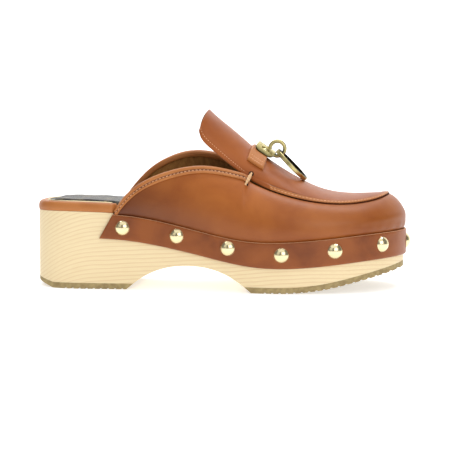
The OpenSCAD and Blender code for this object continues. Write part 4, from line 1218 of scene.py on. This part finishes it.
# --- Collar bindings ------------------------------------------------------------------------------
@dataclass
class Collar:
    """The two leather bindings folded over the topline, each with a row of stitches in its groove."""

    width: float = 5.2
    wall: float = 2.5
    gap: float = 0.27
    stations: int = 300
    groove: float = 2.95
    ends: dict = field(default_factory=lambda: {
        Side.OUTER: (0.3, 9.6), Side.INNER: (32.8, 42.7)})

    def _section(self) -> Array:
        """Returns the binding's section as distances down the wall and out from it."""
        inner = -self.wall - self.gap
        return np.array([
            [5.2, 0.3], [5.25, 0.8], [4.75, 1.2], [4.0, 1.28], [3.35, 0.98], [2.95, 0.78], [2.55, 0.98],
            [1.7, 1.5], [0.6, 1.62], [-0.45, 1.15], [-1.05, 0.1], [-1.12, -1.2], [-0.7, -2.6], [0.4, -3.3],
            [1.6, -3.5], [3.0, -3.45], [3.5, -3.15], [3.4, inner], [2.4, inner], [1.2, inner],
            [0.1, inner + 0.1],
            [-0.26, -1.9], [-0.26, -0.6], [0.1, self.gap], [1.5, self.gap], [3.4, self.gap], [4.6, self.gap],
        ])

    def _columns(self, side: Side) -> list[tuple[Array, Array, Array, Array]]:
        """Returns the wall's columns under one binding: distance down, point, normal and upward way."""
        first, last = self.ends[side]
        q = np.linspace(first, last, self.stations)
        grid = LAST.wall(q, np.linspace(0, 1, 60))
        normals = grid_normals(grid)
        found = []
        for i in range(len(q)):
            line, up = grid[i, ::-1], normals[i, ::-1]
            at = run_length(line)
            way = unit(line[0] - np.array([np.interp(1.5, at, line[:, k]) for k in range(3)]))
            found.append((at, line, up, way))
        return found

    def _on_wall(self, column: tuple, s: Array, out: Array) -> Array:
        """Returns points at distances down the wall and out from it; above the top they go straight up."""
        at, line, up, way = column
        down = np.maximum(s, 0)
        points = np.column_stack([np.interp(down, at, line[:, k]) for k in range(3)])
        normals = np.column_stack([np.interp(down, at, up[:, k]) for k in range(3)])
        return points + normals * out[:, None] + way * np.maximum(-s, 0)[:, None]

    def binding(self, side: Side, name: str, finish: Finishes) -> bpy.types.Object:
        """Builds one binding."""
        loop = loop_spline(self._section(), np.arange(0, 27, 0.4))
        rows = []
        for k, column in enumerate(self._columns(side)):
            drop = column[0][-1]
            outer = min(self.width, drop - 0.3) / self.width
            inner = min(self.width, drop - 1.6) / self.width
            scale = np.where(loop[:, 1] < -1, inner, outer)
            s = np.where(loop[:, 0] > 0, loop[:, 0] * np.maximum(scale, 0.05), loop[:, 0])
            pull = 0.06 * math.sin(k * 0.55)
            rows.append(self._on_wall(column, s, loop[:, 1] + np.where(loop[:, 1] > 0.9, pull, 0)))
        piece = sweep(name, np.array(rows), finish.trim_and_painted_highlight, finish.seam)
        # Painted shade: the groove's faces get the dark seam leather.
        pressed = (np.abs(loop[:, 0] - self.groove) < 0.55) & (loop[:, 1] > 0.6)
        index = np.zeros(len(piece.data.polygons), dtype=np.int32)
        index[: (self.stations - 1) * len(loop)] = np.tile(pressed, self.stations - 1)
        piece.data.polygons.foreach_set("material_index", index)
        return piece

    def seam(self, side: Side, name: str, finish: Finishes) -> bpy.types.Object:
        """Builds the stitches in one binding's groove."""
        path, ups = [], []
        for column in self._columns(side):
            drop = column[0][-1]
            s = np.array([self.groove * min(self.width, drop - 0.3) / self.width])
            path.append(self._on_wall(column, s, np.array([0.98]))[0])
            near, far = (self._on_wall(column, s, np.array([out]))[0] for out in (1.0, 2.0))
            ups.append(far - near)
        return stitches(name, np.array(path), np.array(ups), finish.thread, 2.6, 1.8, 0.3, 0.3)

    def build(self, finish: Finishes) -> None:
        """Builds both bindings."""
        for side, word in ((Side.OUTER, "lateral"), (Side.INNER, "medial")):
            node = "collar_binding_" + word
            place(self.binding(side, node + "_leather", finish), "trim_leather", node)
            place(self.seam(side, node + "_stitches", finish), "thread")


# --- Rand and nails -------------------------------------------------------------------------------
@dataclass
class Rand:
    """The leather band over the joint of upper and wood."""

    thick: float = 2

    def _end(self, side: Side, low: Array) -> Array:
        """Returns the places of one slanted end, for shares of the band's width from its top edge."""
        end = LAST.rand_end_outer if side is Side.OUTER else LAST.rand_end_inner
        height = float(LAST.rand_height(np.array(end)))
        return LAST.place_at(end - LAST.rand_slant * height * low, side)

    def band(self, finish: Finishes) -> bpy.types.Object:
        """Builds the band with softened edges and a pale cut edge on top."""
        t = self.thick
        section = np.array([
            [0.05, 0.002], [t * 0.45, 0], [t * 0.8, 0.004], [t, 0.03], [t + 0.06, 0.1], [t + 0.05, 0.3],
            [t + 0.05, 0.5], [t + 0.05, 0.7], [t + 0.06, 0.9], [t, 0.97], [t * 0.8, 0.996], [t * 0.45, 1],
            [0.05, 0.998], [0.04, 0.75], [0.04, 0.5], [0.04, 0.25],
        ])
        loop = loop_spline(section, np.arange(0, len(section), 0.34))
        loop[:, 1] = np.clip(loop[:, 1], 0, 1)
        first, last = self._end(Side.OUTER, loop[:, 1]), self._end(Side.INNER, loop[:, 1])
        rows = []
        for a in np.linspace(0, 1, 620):
            s = first + (last - first) * a
            live = 0.07 * math.sin(a * 97) * math.sin(a * 41) * (loop[:, 0] > t * 0.5)
            p = LAST.rim(s) + (loop[:, 0] + live)[:, None] * LAST.rim_normal(s)
            level = LAST.rand_high(p[:, 0]) - loop[:, 1] * LAST.rand_height(p[:, 0])
            rows.append(np.column_stack([p, level]))
        piece = sweep("rand_leather_band", np.array(rows), finish.rand, finish.cut)
        paint(piece, lambda middle, normal: normal[:, 2] > 0.72)
        return piece

    def build(self, finish: Finishes) -> None:
        """Builds the band."""
        place(self.band(finish), "rand_leather", "rand_band")


@dataclass
class NailRow:
    """The domed nails through the rand: one at the toe and six on each side."""

    diameter: float = 10.6
    rise: float = 3
    shank: float = 0.9
    shank_length: float = 14
    a_side: int = 6
    last_from_end: float = 11.5
    seat: float = 2
    stray: Array = field(default_factory=lambda: np.array([
        [0, 0, 0], [0.17, -0.4, 1.1], [0.33, 0.4, 0.6], [0.5, 1.1, 0.5], [0.67, 0.9, 1.7], [0.83, 1.5, 1.3],
        [1, 0, 0]]))

    def _places(self) -> list[tuple[float, float]]:
        """Returns the nails' places on the outline and how far each sits above the band's middle."""
        found = [(float(LAST.toe_place), 0.0)]
        for side, way in ((Side.OUTER, -1), (Side.INNER, 1)):
            end = LAST.rand_end_outer if side is Side.OUTER else LAST.rand_end_inner
            middle = end - LAST.rand_slant * float(LAST.rand_height(np.array(end))) / 2
            s = LAST.toe_place + way * np.linspace(0, 11, 1100)
            at = run_length(LAST.rim(s))
            stop = at[np.nonzero(LAST.rim(s)[:, 0] > middle)[0][-1]] - self.last_from_end
            for share in np.arange(1, self.a_side + 1) / self.a_side:
                ahead, up = (float(np.interp(share, self.stray[:, 0], self.stray[:, k])) for k in (1, 2))
                found.append((float(np.interp(stop * share - ahead, at, s)), up))
        return found

    def _profile(self) -> Array:
        """Returns the nail's outline as radius and height, from the tip to the crown."""
        half = self.diameter / 2
        ball = (half**2 + self.rise**2) / (2 * self.rise)
        reach = math.asin(half / ball)
        turn = np.linspace(reach, 0.02, 22)
        crown = np.column_stack([ball * np.sin(turn), self.rise - ball + ball * np.cos(turn)])
        lip = np.array([
            [0.05, -self.shank_length], [self.shank, -self.shank_length + 1.5], [self.shank, -0.6],
            [self.shank + 0.3, -0.15], [half - 0.9, -0.1], [half - 0.25, -0.12], [half + 0.02, -0.02],
        ])
        return np.concatenate([lip, crown])

    def build(self, finish: Finishes) -> None:
        """Builds the nails as one piece."""
        profile = self._profile()
        around = 56
        turn = np.arange(around) / around * 2 * math.pi
        points, faces = [], []
        one = grid_faces(len(profile), around, wrap=True)
        for s, lift in self._places():
            n = LAST.rim_normal([s])[0]
            p = LAST.rim([s])[0]
            z = float(LAST.rand_high(p[0]) - LAST.rand_height(p[0]) / 2) + lift
            middle = np.array([p[0] + n[0] * self.seat, p[1] + n[1] * self.seat, z])
            out, side, up = np.array([n[0], n[1], 0]), np.array([-n[1], n[0], 0]), np.array([0, 0, 1.0])
            base = len(points) * len(profile) * around
            round_way = np.cos(turn)[None, :, None] * side + np.sin(turn)[None, :, None] * up
            ring = middle + profile[:, None, 0:1] * round_way + profile[:, None, 1:2] * out
            points.append(ring.reshape(-1, 3))
            faces += (one + base).tolist()
            last = base + (len(profile) - 1) * around
            faces += [list(range(base, base + around)), list(range(last, last + around))]
        nails = make_piece("domed_nails", np.concatenate(points), faces, finish.nail)
        place(nails, "nail_brass", "dome_nails")
        dress("lasting_tacks", finish.steel)


# --- Instep ---------------------------------------------------------------------------------------
@dataclass
class InstepOrnament:
    """The strap across the instep, the bridge plate riveted to it and the two loose rings."""

    back: float = 39.5
    width: float = 13
    thick: float = 2
    lift: float = 0.22
    sweep_back: float = 2.3
    narrow: float = 1.4
    share: float = 0.158
    roll: float = 1.1
    across: int = 120
    along: int = 40

    def _patch(self) -> Array:
        """Returns the apron's face under the strap."""
        t = np.linspace(0, 1, self.across)
        side = (2 * t - 1) ** 2
        w = self.share + (1 - 2 * self.share) * t
        j = np.linspace(1, 0, self.along)
        width = self.width - self.narrow * side[:, None]
        run = self.back - self.sweep_back * side[:, None] + width * j[None, :]
        u = LAST.ridge_share(run)
        return LAST.apron_at(u, np.broadcast_to(w[:, None], u.shape))

    def strap(self, finish: Finishes) -> bpy.types.Object:
        """Builds the strap with rolled edges and a pressed line along them."""
        patch = self._patch()
        normals = grid_normals(patch)
        border = np.concatenate([patch[0], patch[1:, -1], patch[-1, ::-1], patch[::-1, 0]])
        far = edge_distance(patch, border)
        round_edge = np.sqrt(np.clip(1 - (1 - np.clip(far / self.roll, 0, 1)) ** 2, 0, 1))
        top = self.lift + 0.4 + (self.thick - 0.4) * round_edge - 0.16 * bump(far, 2.1, 0.35)
        upper, lower = patch + normals * top[..., None], patch + normals * self.lift
        return shell("instep_strap_leather", upper, lower, finish.trim_and_painted_highlight)

    def strap_seams(self, finish: Finishes) -> None:
        """Builds the double rows of stitches that hold the strap's ends."""
        patch = self._patch()
        normals = grid_normals(patch)
        surface = patch + normals * (self.lift + self.thick - 0.08)
        n = self.along - 1
        for side, word in ((0, "outer"), (1, "inner")):
            for row, depth in enumerate((2.2, 5.4)):
                at = run_length(surface[:, n // 2])
                at = at if side == 0 else at[-1] - at
                i = int(np.argmin(np.abs(at - depth)))
                line = surface[i, 5 : n - 4]
                name = f"strap_{word}_stitches_{row + 1}"
                up = normals[i, 5 : n - 4]
                place(stitches(name, line, up, finish.thread, 1.7, 1.25, 0.22, 0.22), "thread")

    def build(self, finish: Finishes) -> None:
        """Builds the strap, the plate and the rings."""
        place(self.strap(finish), "trim_leather", "instep_strap")
        self.strap_seams(finish)
        plate = refined("bridge_plate", "bridge_plate_brass", finish.antique, 0.28, 50)
        low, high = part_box("bridge_plate")
        middle = (np.array(low) + np.array(high)) / 2 / MM
        u = float(LAST.ridge_share(np.array([self.back + self.width / 2 + 3]))[0])
        way = LAST.ridge_point(np.array([u - 0.02, u + 0.02]))
        ahead = unit(way[0] - way[1])
        up = np.array([-ahead[2], 0, ahead[0]])

        def plate_painted_shade(p: Array, n: Array) -> Array:
            """Gives the plate painted shade on its sides and underneath."""
            return ease((0.62 - n @ up) / 0.3)

        shade_points(plate, plate_painted_shade)
        place(plate, "antique_brass", "bridge_plate")
        place(refined("plate_rivets", "plate_rivet_heads", finish.nail, 0, 40), "rivet_brass", "plate_rivets")
        small = refined("small_ring", "small_ring_brass", finish.antique, 0, 60)
        # Painted shade: the small ring is darkened wherever its faces do not turn towards the sides of the
        # shoe.
        shade_points(small, lambda p, n: 1 - ease((np.abs(n[:, 1]) - 0.2) / 0.35))
        place(small, "antique_brass", "small_ring", body="small_ring")
        large = refined("large_ring", "large_ring_brass", finish.antique, 0, 60)
        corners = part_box("large_ring")
        heart = (np.array(corners[0]) + np.array(corners[1])) / 2 / MM

        def ring_painted_shade(p: Array, n: Array) -> Array:
            """Gives the ring painted shade everywhere but on its outer face."""
            outward = unit(p - heart)
            return 1 - ease(((n * outward).sum(axis=1) - 0.6) / 0.3)

        shade_points(large, ring_painted_shade)
        place(large, "antique_brass", "large_ring", body="large_ring")
        dress("rivet_washers", finish.steel)


@dataclass
class BarTacks:
    """The thick cream threads that hold the collar's corners to the apron."""

    width: float = 2.2
    twist: float = 1.3
    outer_place: float = 10.1
    inner_place: float = 32.1
    low: float = 0.85
    apron_share: float = 0.663
    apron_across: float = 0.055

    def _ends(self, side: Side) -> tuple[Array, Array, Array]:
        """Returns the thread's two ends and the outward way between them."""
        q = self.outer_place if side is Side.OUTER else self.inner_place
        n = LAST.rim_normal(spline(LAST.top_line, np.array([q]))[:, 0])[0]
        out = np.array([n[0], n[1], 0])
        foot = LAST.wall(np.array([q]), np.array([self.low]))[0, 0] + out * self.width / 4
        w = self.apron_across if side is Side.OUTER else 1 - self.apron_across
        head = LAST.apron_at(np.array([self.apron_share]), np.array([w]))[0]
        head = head + np.array([0, -side.value * 0.9, 0.3]) * self.width / 3
        return foot, head, np.array([0, -side.value, 0.25])

    def build(self, finish: Finishes) -> None:
        """Builds both threads and the punched holes they come out of, coloured near black as painted shade.
        """
        threads, holes, thread_faces, hole_faces = [], [], [], []
        around, steps = 18, 40
        for side in Side:
            foot, head, out = self._ends(side)
            t = np.linspace(-0.06, 1.06, steps)[:, None]
            line = foot + (head - foot) * t + unit(out) * (0.75 * np.sin(np.clip(t, 0, 1) * math.pi) - 0.35)
            way = unit(np.gradient(line, axis=0))
            x = unit(np.cross(way, out))
            y = np.cross(x, way)
            turn = np.arange(around) / around * 2 * math.pi
            at = run_length(line)
            lobes = 1 + 0.16 * np.cos(3 * turn[None, :] - at[:, None] * self.twist * 2)
            radius = self.width / 2 * lobes * (0.6 + 0.55 * np.sin(np.clip(t, 0, 1) * math.pi))
            ring = line[:, None] + radius[..., None] * (
                np.cos(turn)[None, :, None] * x[:, None] + np.sin(turn)[None, :, None] * y[:, None])
            base = len(threads) * steps * around
            threads.append(ring.reshape(-1, 3))
            thread_faces += (grid_faces(steps, around, wrap=True) + base).tolist()
            last = base + (steps - 1) * around
            thread_faces += [list(range(base, base + around)), list(range(last, last + around))]
            # Painted shade: each hole is a shallow dish coloured near black.
            for end, face in ((line[3], out), (line[-4], out)):
                axis = unit(np.asarray(face, float))
                a = unit(np.cross(axis, [1, 0, 0.2]))
                b = np.cross(axis, a)
                rims = []
                for r, h in ((0.1, -0.2), (1.35, -0.2), (1.75, -0.05), (1.8, 0.12), (1.5, 0.12), (0.1, -0.1)):
                    circle = np.cos(turn)[:, None] * a + np.sin(turn)[:, None] * b
                    rims.append(end + axis * (h - 0.35) + r * circle)
                start = len(holes) * 6 * around
                holes.append(np.concatenate(rims))
                hole_faces += (grid_faces(6, around, wrap=True) + start).tolist()
        cord = make_piece("bar_tack_threads", np.concatenate(threads), thread_faces, finish.cord)
        place(cord, "thread", "bar_tacks")
        place(make_piece("bar_tack_holes", np.concatenate(holes), hole_faces, finish.hole), "upper_leather")


# --- Studio ---------------------------------------------------------------------------------------
@dataclass
class Studio:
    """A pale floor that curves up behind the clog, soft lights and the camera."""

    target: tuple = (96, 0, 42.4)
    distance: float = 1100
    swing: float = 5.5
    tilt: float = 5
    lens: float = 124.6

    def backdrop(self) -> None:
        """Builds the floor and its curved back."""
        r = Recipe("pale paper")
        r.set(Base_Color=tone(225, 225, 225), Roughness=0.95, Specular_IOR_Level=0.1)
        r.set(Emission_Color=(1, 1, 1, 1), Emission_Strength=0.55)
        r.relief(r.noise(900, 2), 0.02, 0.2)
        turn = np.linspace(0, math.pi / 2, 24)
        profile = [[-1600, 0], [-200, 0], [500, 0]]
        profile += [[500 + 700 * math.sin(a), 700 - 700 * math.cos(a)] for a in turn[1:]]
        profile += [[1200, 2600]]
        profile = np.array(profile)
        rows = [np.column_stack([np.full(len(profile), x), profile]) for x in np.linspace(-2600, 2800, 12)]
        grid = np.array(rows)
        piece = make_piece("paper_sweep", grid, grid_faces(*grid.shape[:2]).tolist(), r.material)

    def lamp(self, name: str, place_at: tuple, size: tuple, watts: float, colour: tuple = (1, 1, 1),
             aim: tuple = (90, 0, 50)) -> None:
        """Adds a soft rectangular light that faces a point."""
        data = bpy.data.lights.new(name, "AREA")
        data.shape = "RECTANGLE"
        data.size, data.size_y = size[0] * MM, size[1] * MM
        data.energy = watts
        data.color = colour
        lamp = bpy.data.objects.new(name, data)
        lamp.location = [c * MM for c in place_at]
        way = Vector([a - b for a, b in zip(aim, place_at)])
        lamp.rotation_euler = way.to_track_quat("-Z", "Y").to_euler()
        bpy.context.scene.collection.objects.link(lamp)

    def camera(self) -> None:
        """Adds the camera in front of the outer side, a little above the floor."""
        data = bpy.data.cameras.new("studio camera")
        data.lens = self.lens
        data.clip_start = 0.05
        camera = bpy.data.objects.new("studio_camera", data)
        turn, tilt = math.radians(self.swing), math.radians(self.tilt)
        way = Vector((math.sin(turn) * math.cos(tilt), -math.cos(turn) * math.cos(tilt), math.sin(tilt)))
        camera.location = Vector([c * MM for c in self.target]) + way * self.distance * MM
        camera.rotation_euler = (-way).to_track_quat("-Z", "Y").to_euler()
        bpy.context.scene.collection.objects.link(camera)
        bpy.context.scene.camera = camera

    def build(self) -> None:
        """Builds the whole studio."""
        scene = bpy.context.scene
        world = bpy.data.worlds.new("soft room")
        world.use_nodes = True
        world.node_tree.nodes["Background"].inputs["Color"].default_value = (1, 1, 1, 1)
        world.node_tree.nodes["Background"].inputs["Strength"].default_value = 0.2
        scene.world = world
        scene.view_settings.view_transform = "Standard"
        self.backdrop()
        self.lamp("overhead light", (120, -450, 1000), (1500, 900), 3.4)
        self.lamp("key light", (650, -1000, 520), (900, 700), 4.6)
        self.lamp("fill light", (-750, -1000, 600), (900, 700), 1.1)
        self.lamp("backdrop light", (90, 250, 1500), (1600, 500), 22, aim=(90, 1100, 500))
        self.camera()


def main() -> None:
    """Builds the clog piece by piece, then the studio."""
    logging.basicConfig(level=logging.INFO, format="%(name)s: %(message)s")
    finish = Finishes()
    for part in (Sole(), Footbed(), Upper(), Collar(), Rand(), NailRow(), InstepOrnament(), BarTacks()):
        log.info("building %s", type(part).__name__)
        part.build(finish)
    Studio().build()


if __name__ == "__main__":
    main()
